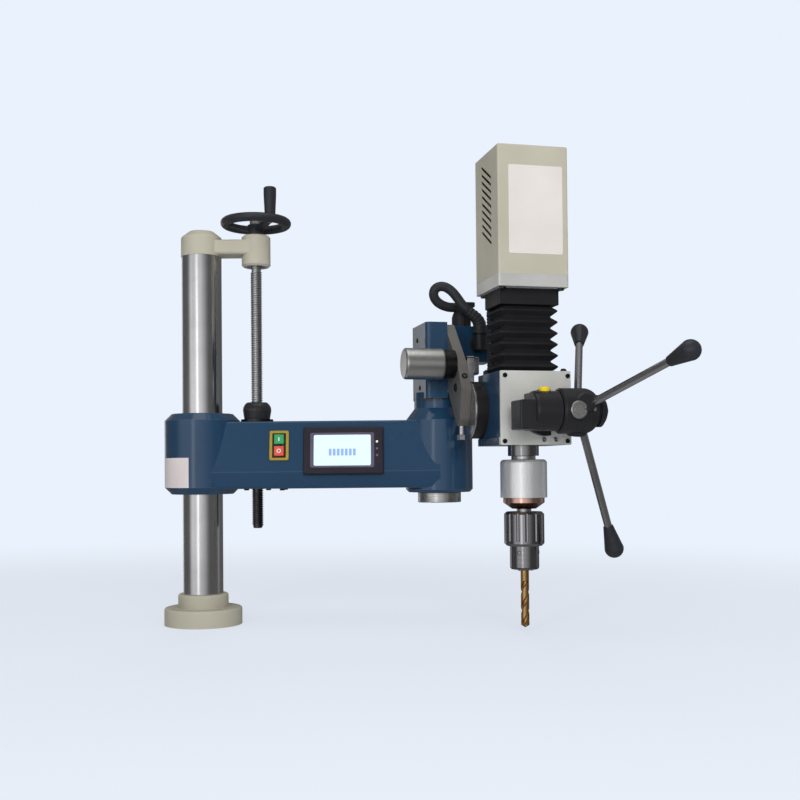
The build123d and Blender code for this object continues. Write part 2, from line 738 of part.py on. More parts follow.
def switch_plate():
    plate = Box(SWITCH_W, SWITCH_H, SWITCH_T, align=CENTRE_LOW)
    plate = fillet(plate.edges().filter_by(Axis.Z), SWITCH_T)
    plate -= Box(SWITCH_FRAME_W + GAP, SWITCH_FRAME_H + GAP, 3 * SWITCH_T)
    return face_plane(SWITCH_X, SWITCH_Z).location * plate


def switch_block():
    depth = SWITCH_DEPTH + SWITCH_T / 2
    body = Pos(0, 0, -SWITCH_DEPTH) * Box(SWITCH_FRAME_W, SWITCH_FRAME_H, depth, align=CENTRE_LOW)
    well = Box(BUTTON_SIZE + 2 * GAP, BUTTON_SIZE + 2 * GAP, 2 * SWITCH_DEPTH, align=CENTRE_LOW)
    floor = BUTTON_PROUD - BUTTON_LENGTH - BUTTON_TRAVEL - GAP
    for side in (-1, 1):
        body -= Pos(0, side * BUTTON_PITCH / 2, floor) * well
    return face_plane(SWITCH_X, SWITCH_Z).location * body


def button(side):
    cap = Pos(0, side * BUTTON_PITCH / 2, BUTTON_PROUD - BUTTON_LENGTH) * Box(
        BUTTON_SIZE, BUTTON_SIZE, BUTTON_LENGTH, align=CENTRE_LOW)
    cap = fillet(cap.edges().group_by(Axis.Z)[-1], BUTTON_ROUND)
    return face_plane(SWITCH_X, SWITCH_Z).location * cap


# Pivot between arm and turret, in the head's axes

def pivot_bushes():
    inner = rod_z(SPIGOT_PIVOT_R + FIT, CLAMP_BOTTOM - 1, PIVOT_TOP + 1, PIVOT_X)
    lower = rod_z(PIVOT_BUSH_R, CLAMP_BOTTOM, CLAMP_BOTTOM + COLUMN_BUSH_H, PIVOT_X) - inner
    upper = rod_z(PIVOT_BUSH_R, PIVOT_TOP - COLUMN_BUSH_H, PIVOT_TOP, PIVOT_X) - inner
    washer = rod_z(PIVOT_NECK_R - EDGE_CHAMFER, PIVOT_TOP, PIVOT_TOP + WASHER_T - END_PLAY, PIVOT_X)
    washer -= rod_z(SPIGOT_PIVOT_R + GAP, PIVOT_TOP - 1, PIVOT_TOP + 2 * WASHER_T, PIVOT_X)
    return lower, upper, washer


def pivot_nut_top():
    return CLAMP_BOTTOM - END_PLAY


def turret_block():
    tower = block(TURRET_LEFT, TURRET_RIGHT, -TURRET_HALF_D, TURRET_HALF_D, TURRET_BOTTOM, TURRET_TOP)
    tower = fillet(upright_edges(tower).group_by(Axis.X)[0], TURRET_ROUND)
    shelf_left = TURRET_LEFT + TURRET_ROUND
    shelf = block(shelf_left, SHELF_RIGHT, SHELF_FRONT, TURRET_HALF_D, SHELF_BOTTOM, TURRET_TOP)
    shelf = fillet(upright_edges(shelf).group_by(Axis.X)[-1], TURRET_ROUND)
    neck = rod_z(PIVOT_NECK_R, TURRET_BOTTOM, TURRET_BOTTOM + TURRET_NECK_H)
    spigot = rod_z(SPIGOT_PIVOT_R, pivot_nut_top() - PIVOT_NUT_H, TURRET_BOTTOM)
    return tower + shelf + neck + spigot


def pivot_nut():
    top = pivot_nut_top()
    nut = rod_z(PIVOT_NUT_R, top - PIVOT_NUT_H, top)
    nut = chamfer(nut.edges().filter_by(GeomType.CIRCLE), EDGE_CHAMFER)
    nut -= rod_z(SPIGOT_PIVOT_R + SEAT, top - PIVOT_NUT_H - 1, top + 1)
    depth = PIVOT_NUT_SLOT_DEPTH
    half = PIVOT_NUT_SLOT_W / 2
    slot = block(-depth, depth, -half, half, top - PIVOT_NUT_H - 1, top - PIVOT_NUT_H / 2)
    for spot in PolarLocations(PIVOT_NUT_R, PIVOT_NUT_SLOTS, start_angle=45):
        nut -= spot * slot
    return nut


def cheek_plate():
    back = SHELF_FRONT - CHEEK_EDGE
    points = [
        (back, INDEX_Z + CHEEK_TOP_RISE),
        (back - CHEEK_TOP_W, INDEX_Z + CHEEK_TOP_RISE),
        (INDEX_Y - COLLAR_R + CHEEK_INSET, INDEX_Z - CHEEK_INSET),
        (TILT_Y - CHEEK_FRONT_W, TILT_Z + CHEEK_FRONT_RISE),
        (TILT_Y - CHEEK_TOE_W, TILT_Z - CHEEK_TOE_DROP),
        (TILT_Y, TILT_Z - CHEEK_DROP),
        (TILT_Y + CHEEK_HEEL_W, TILT_Z + CHEEK_HEEL_RISE),
        (back, INDEX_Z - CHEEK_FOOT_DROP),
    ]
    outline = make_face(Polyline(*points, close=True))
    outline = fillet(outline.vertices(), CHEEK_ROUND)
    plate = Pos(TURRET_RIGHT, 0, 0) * extrude(Plane.YZ * outline, CHEEK_T)
    plate -= rod_x(TILT_SHAFT_R + SEAT, TURRET_RIGHT + TILT_END_WALL, CHEEK_RIGHT + 1, TILT_Y, TILT_Z)
    plate -= rod_x(INDEX_PIN_R + FIT, TURRET_RIGHT - 1, CHEEK_RIGHT + 1, INDEX_Y, INDEX_Z)
    return plate


def tilt_dial():
    ring = rod_x(DIAL_R, CHEEK_RIGHT, CHEEK_RIGHT + DIAL_T, TILT_Y, TILT_Z)
    ring = chamfer(ring.edges().group_by(Axis.X)[0], EDGE_CHAMFER)
    return ring - rod_x(TILT_SHAFT_R + SEAT, CHEEK_RIGHT - 1, CHEEK_RIGHT + DIAL_T + 1, TILT_Y, TILT_Z)


def tilt_shaft():
    shaft = rod_x(TILT_SHAFT_R, TURRET_RIGHT + TILT_END_WALL, HEAD_LEFT - GAP, TILT_Y, TILT_Z)
    return chamfer(shaft.edges().filter_by(GeomType.CIRCLE), EDGE_CHAMFER)


def index_bush():
    left = TURRET_RIGHT - COLLAR_L
    ring = rod_x(COLLAR_R, left, TURRET_RIGHT, INDEX_Y, INDEX_Z)
    return ring - rod_x(INDEX_PIN_R + FIT, left - 1, TURRET_RIGHT + 1, INDEX_Y, INDEX_Z)


def index_knob():
    right = TURRET_RIGHT - COLLAR_L - GAP
    knob = rod_x(KNOB_R, right - KNOB_L, right, INDEX_Y, INDEX_Z)
    knob = fillet(knob.edges().filter_by(GeomType.CIRCLE), KNOB_ROUND)
    return knob + rod_x(INDEX_PIN_R, right, DRUM_LEFT - 2 * GAP, INDEX_Y, INDEX_Z)


# Hose: from the gland on the turret's top, one loop, down to the gland on the turret's front
HOSE_ROUTE = [
    (50, 20, 536),
    (50, 20, 547),
    (43, 20, 559),
    (26, 20, 564),
    (8, 17, 565),
    (-4, 12, 575),
    (-3, 7, 588),
    (9, 2, 597),
    (26, -3, 595),
    (40, -8, 584),
    (52, -12, 569),
    (62, -15, 553),
    (70, -17, 536),
    (73, -17, 521),
    (73, -17, 506),
]


def corner_radii(route):
    radii = []
    for a, b, c in zip(route, route[1:], route[2:]):
        before = Vector(*b) - Vector(*a)
        after = Vector(*c) - Vector(*b)
        turn = math.radians(before.get_angle(after))
        radii.append(0.45 * min(before.length, after.length) / math.tan(turn / 2))
    return radii


def hose():
    radii = corner_radii(HOSE_ROUTE)
    print("hose bend radii", [round(r, 1) for r in radii])
    line = FilletPolyline(*HOSE_ROUTE, radius=radii)
    start = Plane(line @ 0, z_dir=line % 0)
    tube = sweep(start * Circle(HOSE_R), path=line)
    share = tube.volume / (math.pi * HOSE_R ** 2 * line.length)
    print("hose length", round(line.length, 1), "volume ratio", round(share, 4))
    return tube


def hose_glands():
    x, y, z = HOSE_ROUTE[0]
    top = rod_z(GLAND_R, TURRET_TOP, z, x, y)
    top += rod_z(GLAND_FLANGE_R, TURRET_TOP, TURRET_TOP + GLAND_FLANGE_T, x, y)
    x, y, z = HOSE_ROUTE[-1]
    drop = z - GLAND_R - SMALL_ROUND
    elbow = rod_z(GLAND_R, drop - GLAND_R, z, x, y) + rod_y(GLAND_R, y, SHELF_FRONT, x, drop)
    elbow += rod_y(GLAND_FLANGE_R, SHELF_FRONT - GLAND_FLANGE_T, SHELF_FRONT, x, drop)
    return top, elbow


# Head body and its plates

def tilt_drum():
    drum = rod_x(DRUM_R, DRUM_LEFT, HEAD_LEFT, TILT_Y, TILT_Z)
    drum = fillet(drum.edges().group_by(Axis.X)[0], SMALL_ROUND)
    return drum - rod_x(TILT_SHAFT_R + FIT, DRUM_LEFT - 1, HEAD_LEFT, TILT_Y, TILT_Z)


def index_lug():
    right = DRUM_LEFT + LUG_PLATE_T
    half = LUG_PLATE_HALF_W
    lug = block(DRUM_LEFT, right, INDEX_Y - half, INDEX_Y + half, TILT_Z, LUG_PLATE_TOP)
    lug = fillet(lug.edges().group_by(Axis.Z)[-1].filter_by(Axis.X), LUG_PLATE_ROUND)
    lug -= rod_x(DRUM_R, DRUM_LEFT - 1, right + 1, TILT_Y, TILT_Z)
    return lug - rod_x(INDEX_PIN_R + GAP, DRUM_LEFT - 1, right + 1, INDEX_Y, INDEX_Z)


def gear_pocket():
    left = GEAR_X - GEAR_SIDE_PLAY
    right = GEAR_X + GEAR_W + GEAR_SIDE_PLAY
    tip = GEAR_MODULE + GEAR_TIP_PLAY
    room = rod_x(PINION_R + tip, left, right, FEED_Y, FEED_Z)
    return room + rod_x(IDLER_R + tip, left, right, IDLER_Y, FEED_Z)


def head_body():
    front = HEAD_FRONT + FRONT_PLATE_T
    body = block(HEAD_LEFT, HEAD_RIGHT, front, HEAD_BACK, HEAD_BOTTOM + BASE_PLATE_T, HEAD_TOP)
    body = fillet(upright_edges(body).group_by(Axis.Y)[-1], HEAD_ROUND)
    body += rod_x(DRUM_R, HEAD_LEFT, HEAD_LEFT + BACK_BOSS_T, TILT_Y, TILT_Z)
    body -= rod_z(QUILL_BUSH_R + SEAT, HEAD_BOTTOM, HEAD_TOP + 1, SPINDLE_X, SPINDLE_Y)
    body -= gear_pocket()
    return body - idler_bore()


def idler_bore():
    half = IDLER_PIN_L / 2 + END_PLAY
    return rod_x(IDLER_PIN_R + FIT, SPINDLE_X - half, SPINDLE_X + half, IDLER_Y, FEED_Z)


def head_base_plate():
    plate = block(HEAD_LEFT - BASE_PLATE_PROUD, HEAD_RIGHT, HEAD_FRONT + FRONT_PLATE_T, HEAD_BACK,
                  HEAD_BOTTOM, HEAD_BOTTOM + BASE_PLATE_T)
    plate = fillet(upright_edges(plate).group_by(Axis.Y)[-1], HEAD_ROUND)
    boss_end = HEAD_LEFT + BACK_BOSS_T + GAP
    plate -= rod_x(DRUM_R + GAP, HEAD_LEFT - 2 * BASE_PLATE_PROUD, boss_end, TILT_Y, TILT_Z)
    return plate - rod_z(QUILL_BUSH_R + SEAT, HEAD_BOTTOM - 1, HEAD_TOP, SPINDLE_X, SPINDLE_Y)


def front_plate():
    plate = block(HEAD_LEFT, HEAD_RIGHT, HEAD_FRONT, HEAD_FRONT + FRONT_PLATE_T, HEAD_BOTTOM, HEAD_TOP)
    plate = fillet(plate.edges().filter_by(Axis.Y), SMALL_ROUND)
    return plate - gear_pocket() - idler_bore()


def quill_bushes():
    bore = rod_z(QUILL_R + FIT, HEAD_BOTTOM - 1, HEAD_TOP + 1, SPINDLE_X, SPINDLE_Y)
    lower = rod_z(QUILL_BUSH_R, HEAD_BOTTOM, HEAD_BOTTOM + QUILL_BUSH_H, SPINDLE_X, SPINDLE_Y) - bore
    upper = rod_z(QUILL_BUSH_R, HEAD_TOP - QUILL_BUSH_H, HEAD_TOP, SPINDLE_X, SPINDLE_Y) - bore
    return lower, upper


# Feed gears

def involute(angle):
    return math.tan(angle) - angle


def gear_face(teeth, shift):
    pitch_r = GEAR_MODULE * teeth / 2
    base_r = pitch_r * math.cos(math.radians(PRESSURE_ANGLE))
    root_r = pitch_r - 1.25 * GEAR_MODULE
    tip_r = pitch_r + GEAR_MODULE
    start_r = max(base_r, root_r)
    half_pitch = math.pi / (2 * teeth) - BACKLASH / (4 * pitch_r) + involute(math.radians(PRESSURE_ANGLE))
    radii = [start_r + (tip_r - start_r) * i / 3 for i in range(4)]
    flank = [(r, half_pitch - involute(math.acos(min(1.0, base_r / r)))) for r in radii]
    flank = [(root_r, flank[0][1])] + flank if root_r < start_r else flank
    points = []
    for k in range(teeth):
        middle = 2 * math.pi * (k + shift) / teeth
        points += [(r * math.cos(middle - a), r * math.sin(middle - a)) for r, a in flank]
        points += [(r * math.cos(middle + a), r * math.sin(middle + a)) for r, a in reversed(flank)]
    return make_face(Polyline(*points, close=True))


def pinion_shaft():
    gear = Pos(GEAR_X, FEED_Y, FEED_Z) * extrude(Plane.YZ * gear_face(PINION_TEETH, 0.0), GEAR_W)
    left = STOP_BOX_LEFT + STOP_BOX_WALL
    return gear + rod_x(PINION_SHAFT_R, left, CAPSTAN_LEFT + CAPSTAN_L, FEED_Y, FEED_Z)


def idler_gear():
    gear = Pos(GEAR_X, IDLER_Y, FEED_Z) * extrude(Plane.YZ * gear_face(IDLER_TEETH, 0.5), GEAR_W)
    half = IDLER_PIN_L / 2
    return gear + rod_x(IDLER_PIN_R, SPINDLE_X - half, SPINDLE_X + half, IDLER_Y, FEED_Z)


def rack_span():
    return FEED_Z - RACK_END, FEED_Z + FEED_TRAVEL + RACK_END


def rack_cut():
    low, high = rack_span()
    pitch = math.pi * GEAR_MODULE
    slope = math.tan(math.radians(PRESSURE_ANGLE))
    tip_y = RACK_PITCH_Y - GEAR_MODULE
    root_y = RACK_PITCH_Y + 1.25 * GEAR_MODULE
    tip_half = pitch / 4 + BACKLASH / 4 + slope * GEAR_MODULE
    root_half = pitch / 4 + BACKLASH / 4 - slope * 1.25 * GEAR_MODULE
    left = SPINDLE_X - QUILL_R - 1
    right = SPINDLE_X + QUILL_R + 1
    width = right - left
    front = min(SPINDLE_Y - QUILL_R, tip_y) - 1
    cut = block(left, right, front, tip_y, low, high)
    first = math.ceil((low + tip_half - FEED_Z) / pitch - 0.5)
    last = math.floor((high - tip_half - FEED_Z) / pitch - 0.5)
    for k in range(first, last + 1):
        z = FEED_Z + (k + 0.5) * pitch
        points = [(tip_y - 1, z - tip_half), (tip_y, z - tip_half), (root_y, z - root_half),
                  (root_y, z + root_half), (tip_y, z + tip_half), (tip_y - 1, z + tip_half)]
        cut += Pos(left, 0, 0) * extrude(Plane.YZ * make_face(Polyline(*points, close=True)), width)
    return cut


# Feed housing and capstan

def feed_housing():
    body = rod_x(HOUSING_R, HOUSING_LEFT, HOUSING_RIGHT, FEED_Y, FEED_Z)
    body = fillet(body.edges().group_by(Axis.X)[0], HOUSING_ROUND)
    disc = rod_y(HOUSING_FLANGE_R, FEED_Y + HOUSING_R, HEAD_FRONT, HOUSING_FLANGE_X, FEED_Z)
    thick = disc - block(HOUSING_RIGHT, HEAD_RIGHT, FEED_Y, HEAD_FRONT, HEAD_BOTTOM, HEAD_TOP)
    thin_front = HEAD_FRONT - HOUSING_FLANGE_T
    thin = disc - block(HEAD_LEFT, HEAD_RIGHT, FEED_Y, thin_front, HEAD_BOTTOM, HEAD_TOP)
    thin -= block(HOUSING_FLANGE_RIGHT, HEAD_RIGHT, FEED_Y, HEAD_FRONT + 1, HEAD_BOTTOM, HEAD_TOP)
    neck_h = HOUSING_R - SMALL_ROUND
    neck_left = HOUSING_LEFT + HOUSING_ROUND + 1
    neck = block(neck_left, HOUSING_RIGHT, FEED_Y, HEAD_FRONT, FEED_Z - neck_h, FEED_Z + neck_h)
    low = FEED_Z - neck_h
    box_front = FEED_Y - STOP_BOX_FRONT
    box_back = FEED_Y + STOP_BOX_BACK
    box = block(STOP_BOX_LEFT, STOP_BOX_RIGHT, box_front, box_back, low, low + STOP_BOX_H)
    box = fillet(box.edges().group_by(Axis.X)[0], STOP_BOX_ROUND)
    body = body + thick + thin + neck + box
    body -= gear_pocket()
    bore_left = STOP_BOX_LEFT + STOP_BOX_WALL - END_PLAY
    return body - rod_x(PINION_SHAFT_R + FIT, bore_left, HOUSING_RIGHT + 1, FEED_Y, FEED_Z)


def oil_plug():
    crown = FEED_Z + HOUSING_R
    plug = rod_z(PLUG_R, crown - PLUG_SEAT, crown + PLUG_H, PLUG_X, FEED_Y)
    plug = fillet(plug.edges().group_by(Axis.Z)[-1], SMALL_ROUND)
    return plug - rod_x(HOUSING_R, HOUSING_LEFT, HOUSING_RIGHT, FEED_Y, FEED_Z)


def lever_direction(k):
    turn = math.radians(LEVER_START + 360 * k / LEVERS)
    lean = math.radians(LEVER_LEAN)
    return Vector(math.sin(lean), -math.sin(turn) * math.cos(lean), -math.cos(turn) * math.cos(lean))


def lever_plane(k, along):
    way = lever_direction(k)
    start = Vector(LEVER_X, FEED_Y, FEED_Z) + way * along
    return Plane(start, z_dir=way)


def capstan_hub():
    right = CAPSTAN_LEFT + CAPSTAN_L
    straight = CAPSTAN_LEFT + CAPSTAN_L * 0.7
    groove = right + CAPSTAN_GROOVE_L
    rim = groove + CAPSTAN_RIM_L
    mid_r = CAPSTAN_RIM_R + (CAPSTAN_R - CAPSTAN_RIM_R) * 0.72
    base = Polyline(
        (CAPSTAN_LEFT, 0),
        (CAPSTAN_LEFT, CAPSTAN_R - CAPSTAN_BEVEL),
        (CAPSTAN_LEFT + CAPSTAN_BEVEL, CAPSTAN_R),
        (straight, CAPSTAN_R),
    )
    middle = straight + (right - straight) * 0.55
    dome = ThreePointArc((straight, CAPSTAN_R), (middle, mid_r), (right, CAPSTAN_RIM_R))
    end = Polyline(
        (right, CAPSTAN_RIM_R),
        (right, CAPSTAN_GROOVE_R),
        (groove, CAPSTAN_GROOVE_R),
        (groove, CAPSTAN_RIM_R),
        (rim, CAPSTAN_RIM_R),
        (rim, END_CAP_R),
        (rim + END_CAP_L * 0.4, END_CAP_R),
        (rim + END_CAP_L, END_CAP_R * 0.4),
        (rim + END_CAP_L, 0),
        (CAPSTAN_LEFT, 0),
    )
    hub = Pos(0, FEED_Y, FEED_Z) * revolve(make_face(base + dome + end), Axis.X)
    for k in range(LEVERS):
        turn = LEVER_START + 360 * k / LEVERS
        lobe = Cylinder(LOBE_R, LOBE_REACH, align=CENTRE_LOW)
        lobe = fillet(lobe.edges().group_by(Axis.Z)[-1], LOBE_ROUND)
        hub += Pos(LEVER_X, FEED_Y, FEED_Z) * Rot(180 - turn, 0, 0) * lobe
    for k in range(LEVERS):
        hub -= lever_plane(k, LEVER_ROOT).location * Cylinder(LEVER_R + SEAT, LEVER_L, align=CENTRE_LOW)
    front = FEED_Y - CAPSTAN_R - CLUTCH_PROUD
    hub -= rod_y(CLUTCH_R + SEAT, front - 1, front + CLUTCH_T, CLUTCH_X, FEED_Z)
    return hub - rod_x(PINION_SHAFT_R + SEAT, CAPSTAN_LEFT - 1, right, FEED_Y, FEED_Z)


def clutch_button():
    front = FEED_Y - CAPSTAN_R - CLUTCH_PROUD
    disc = rod_y(CLUTCH_R, front, front + CLUTCH_T, CLUTCH_X, FEED_Z)
    disc = fillet(disc.edges().group_by(Axis.Y)[0], SMALL_ROUND)
    groove = rod_y(CLUTCH_R * 0.7, front - 1, front + 1, CLUTCH_X, FEED_Z)
    return disc - (groove - rod_y(CLUTCH_R * 0.55, front - 2, front + 2, CLUTCH_X, FEED_Z))


def lever_rod(k):
    length = LEVER_L - LEVER_KNOB_L / 2 - LEVER_ROOT
    return lever_plane(k, LEVER_ROOT).location * Cylinder(LEVER_R, length, align=CENTRE_LOW)


def lever_knob(k):
    tip = LEVER_KNOB_L - LEVER_KNOB_R
    bend = LEVER_KNOB_R * math.sqrt(0.5)
    side = Polyline((0, 0), (LEVER_KNOB_ROOT_R, 0), (LEVER_KNOB_R, tip))
    ball = ThreePointArc((LEVER_KNOB_R, tip), (bend, tip + bend), (0, LEVER_KNOB_L))
    profile = make_face(side + ball + Line((0, LEVER_KNOB_L), (0, 0)))
    knob = revolve(Plane.XZ * profile, Axis.Z)
    knob -= Pos(0, 0, -1) * Cylinder(LEVER_R + SEAT, LEVER_KNOB_L / 2 + 1, align=CENTRE_LOW)
    return lever_plane(k, LEVER_L - LEVER_KNOB_L).location * knob


# Bellows, motor and cover

def fold_at(inset, z):
    return Pos(BELLOWS_X, SPINDLE_Y, z) * Rectangle(BELLOWS_W - 2 * inset, BELLOWS_D - 2 * inset)


def bellows():
    step = (BELLOWS_TOP - BELLOWS_BOTTOM) / (2 * BELLOWS_FOLDS)
    outer = Part()
    inner = Part()
    for i in range(2 * BELLOWS_FOLDS):
        z = BELLOWS_BOTTOM + i * step
        low, high = (BELLOWS_FOLD_DEPTH, 0) if i % 2 == 0 else (0, BELLOWS_FOLD_DEPTH)
        outer += loft([fold_at(low, z), fold_at(high, z + step)], ruled=True)
        low += BELLOWS_WALL
        high += BELLOWS_WALL
        inner += loft([fold_at(low, z), fold_at(high, z + step)], ruled=True)
    return outer - inner


def bellows_collar():
    outer = extrude(fold_at(0, BELLOWS_TOP), BELLOWS_COLLAR_H)
    return outer - extrude(fold_at(BELLOWS_FOLD_DEPTH + BELLOWS_WALL, BELLOWS_TOP), BELLOWS_COLLAR_H)


def motor_rect(inset):
    return Rectangle(MOTOR_W - 2 * inset, MOTOR_D - 2 * inset)


def motor_base():
    tray = Pos(SPINDLE_X, SPINDLE_Y, MOTOR_BASE_Z) * extrude(motor_rect(0), MOTOR_BASE_H)
    tray = fillet(upright_edges(tray), COVER_ROUND)
    floor = MOTOR_BASE_Z + MOTOR_BASE_FLOOR
    tray -= Pos(SPINDLE_X, SPINDLE_Y, floor) * extrude(motor_rect(MOTOR_BASE_WALL), MOTOR_BASE_H)
    return tray - rod_z(QUILL_BORE_R, MOTOR_BASE_Z - 1, COVER_BOTTOM, SPINDLE_X, SPINDLE_Y)


def motor_cover():
    height = MOTOR_TOP - COVER_BOTTOM
    shell = Pos(SPINDLE_X, SPINDLE_Y, COVER_BOTTOM) * extrude(motor_rect(0), height)
    shell = fillet(upright_edges(shell) + shell.edges().group_by(Axis.Z)[-1], COVER_ROUND)
    room = extrude(motor_rect(COVER_WALL), height - COVER_WALL)
    shell -= Pos(SPINDLE_X, SPINDLE_Y, COVER_BOTTOM) * room
    cut = SlotOverall(LOUVRE_L, LOUVRE_W, rotation=LOUVRE_TILT)
    for i in range(LOUVRES):
        middle = Plane((SPINDLE_X, SPINDLE_Y, LOUVRE_TOP - i * LOUVRE_PITCH), (0, 1, 0), (1, 0, 0))
        shell -= extrude(middle * cut, MOTOR_W, both=True)
    return shell


def servo_motor():
    body = Pos(SPINDLE_X, SPINDLE_Y, SERVO_BOTTOM) * extrude(Rectangle(SERVO_W, SERVO_W), SERVO_H)
    body = fillet(upright_edges(body), SERVO_ROUND)
    low = MOTOR_BASE_Z + MOTOR_BASE_FLOOR
    body += rod_z(STAND_R, low, SERVO_BOTTOM, SPINDLE_X, SPINDLE_Y)
    body -= rod_z(STAND_R - STAND_WALL, low - 1, SERVO_BOTTOM, SPINDLE_X, SPINDLE_Y)
    middle = SERVO_BOTTOM + SERVO_H / 2
    return body - rod_z(MOTOR_SHAFT_R + FIT, SERVO_BOTTOM - 1, middle, SPINDLE_X, SPINDLE_Y)


def coupling_bottom():
    return (MOTOR_BASE_Z + MOTOR_BASE_FLOOR + SERVO_BOTTOM - COUPLING_H) / 2


# Quill, spindle and tool stack

def bearing_seats():
    low = QUILL_BOTTOM
    high = QUILL_TOP - SPINDLE_BEARING_H
    return low, high


def quill():
    body = rod_z(QUILL_R, QUILL_BOTTOM, QUILL_TOP, SPINDLE_X, SPINDLE_Y)
    body -= rod_z(QUILL_BORE_R, QUILL_BOTTOM - 1, QUILL_TOP + 1, SPINDLE_X, SPINDLE_Y)
    for z in bearing_seats():
        body -= rod_z(SPINDLE_BEARING_R + SEAT, z, z + SPINDLE_BEARING_H, SPINDLE_X, SPINDLE_Y)
    return body - rack_cut()


def spindle_bearing(z):
    body = rod_z(SPINDLE_BEARING_R, z, z + SPINDLE_BEARING_H, SPINDLE_X, SPINDLE_Y)
    middle = (SPINDLE_BEARING_R + SHAFT_R) / 2
    for face in (z, z + SPINDLE_BEARING_H):
        race = rod_z(middle + BEARING_GROOVE, face - 1, face + 1, SPINDLE_X, SPINDLE_Y)
        body -= race - rod_z(middle - BEARING_GROOVE, face - 2, face + 2, SPINDLE_X, SPINDLE_Y)
    return body - rod_z(SHAFT_R + FIT, z - 1, z + SPINDLE_BEARING_H + 1, SPINDLE_X, SPINDLE_Y)


def spindle_shaft():
    nose_top = QUILL_BOTTOM - GAP
    low = coupling_bottom()
    half = COUPLING_H / 2
    groove = COUPLING_H * 0.06
    points = [
        (0, TAP_SLEEVE_TOP),
        (NOSE_R, TAP_SLEEVE_TOP),
        (NOSE_R, nose_top),
        (SHAFT_R, nose_top),
        (SHAFT_R, low),
        (COUPLING_R, low),
        (COUPLING_R, low + half - groove),
        (COUPLING_R * 0.8, low + half - groove),
        (COUPLING_R * 0.8, low + half + groove),
        (COUPLING_R, low + half + groove),
        (COUPLING_R, low + COUPLING_H),
        (MOTOR_SHAFT_R, low + COUPLING_H),
        (MOTOR_SHAFT_R, SERVO_BOTTOM + SERVO_H / 2 - GAP),
        (0, SERVO_BOTTOM + SERVO_H / 2 - GAP),
    ]
    return turned_z(points, SPINDLE_X, SPINDLE_Y)


def tapping_chuck():
    core_r = TAP_SLEEVE_R - TAP_SLEEVE_WALL - FIT
    body = rod_z(core_r, TAP_SLEEVE_BOTTOM, TAP_SLEEVE_TOP, SPINDLE_X, SPINDLE_Y)
    return body + rod_z(ARBOR_R, CHUCK_TOP, TAP_SLEEVE_BOTTOM, SPINDLE_X, SPINDLE_Y)


def quick_change_sleeve():
    low = TAP_SLEEVE_BOTTOM + GAP
    body = rod_z(TAP_SLEEVE_R, low, TAP_SLEEVE_TOP, SPINDLE_X, SPINDLE_Y)
    body = fillet(body.edges().group_by(Axis.Z)[-1], TAP_SLEEVE_ROUND)
    return body - rod_z(TAP_SLEEVE_R - TAP_SLEEVE_WALL, low - 1, TAP_SLEEVE_TOP + 1, SPINDLE_X, SPINDLE_Y)


def collet_ring():
    points = [
        (ARBOR_R + SEAT, COLLET_BOTTOM),
        (COLLET_NOSE_R, COLLET_BOTTOM),
        (COLLET_R, TAP_SLEEVE_BOTTOM - COLLET_RIM_H),
        (COLLET_R, TAP_SLEEVE_BOTTOM),
        (ARBOR_R + SEAT, TAP_SLEEVE_BOTTOM),
    ]
    return turned_z(points, SPINDLE_X, SPINDLE_Y)


def jaw_axis(k):
    lean = math.radians(JAW_LEAN)
    turn = 2 * math.pi * k / JAWS + math.pi / 2
    low_r = DRILL_R + JAW_R * 0.8
    way = Vector(math.sin(lean) * math.cos(turn), math.sin(lean) * math.sin(turn), math.cos(lean))
    low = Vector(SPINDLE_X + low_r * math.cos(turn), SPINDLE_Y + low_r * math.sin(turn), CHUCK_BOTTOM)
    return Plane(low, z_dir=way)


def chuck_body():
    low = CHUCK_SLEEVE_BOTTOM - GAP
    nose = rod_z(CHUCK_NOSE_R, CHUCK_BOTTOM, low, SPINDLE_X, SPINDLE_Y)
    nose = fillet(nose.edges().group_by(Axis.Z)[0], CHUCK_NOSE_ROUND)
    body = nose + rod_z(CHUCK_CORE_R, low, CHUCK_TOP, SPINDLE_X, SPINDLE_Y)
    body -= rod_z(DRILL_R + GAP, CHUCK_BOTTOM - 1, DRILL_SHANK_TOP, SPINDLE_X, SPINDLE_Y)
    length = JAW_RUNOUT + JAW_TOP - CHUCK_BOTTOM + JAW_TRAVEL + JAW_END_ROOM
    for k in range(JAWS):
        channel = Cylinder(JAW_R + FIT, length, align=CENTRE_LOW)
        body -= jaw_axis(k).location * Pos(0, 0, -JAW_RUNOUT) * channel
    return body


def chuck_jaw(k):
    low = CHUCK_BOTTOM - JAW_PROUD
    jaw = Cylinder(JAW_R, JAW_RUNOUT + JAW_TOP - CHUCK_BOTTOM, align=CENTRE_LOW)
    jaw = jaw_axis(k).location * Pos(0, 0, -JAW_RUNOUT) * jaw
    jaw -= rod_z(CHUCK_NOSE_R, low - 2 * JAW_RUNOUT, low, SPINDLE_X, SPINDLE_Y)
    return jaw - rod_z(DRILL_R + FIT, low - JAW_RUNOUT, CHUCK_TOP, SPINDLE_X, SPINDLE_Y)


def chuck_sleeve():
    body = rod_z(CHUCK_SLEEVE_R, CHUCK_SLEEVE_BOTTOM, CHUCK_TOP, SPINDLE_X, SPINDLE_Y)
    body = chamfer(body.edges().filter_by(GeomType.CIRCLE), CHUCK_SLEEVE_CHAMFER)
    for spot in PolarLocations(CHUCK_SLEEVE_R + CHUCK_FLUTE_R * 0.4, CHUCK_FLUTES):
        body -= Pos(SPINDLE_X, SPINDLE_Y, 0) * spot * rod_z(
            CHUCK_FLUTE_R, CHUCK_SLEEVE_BOTTOM + 2 * CHUCK_SLEEVE_CHAMFER, CHUCK_TOP + 1)
    return body - rod_z(CHUCK_CORE_R + FIT, CHUCK_SLEEVE_BOTTOM - 1, CHUCK_TOP + 1, SPINDLE_X, SPINDLE_Y)


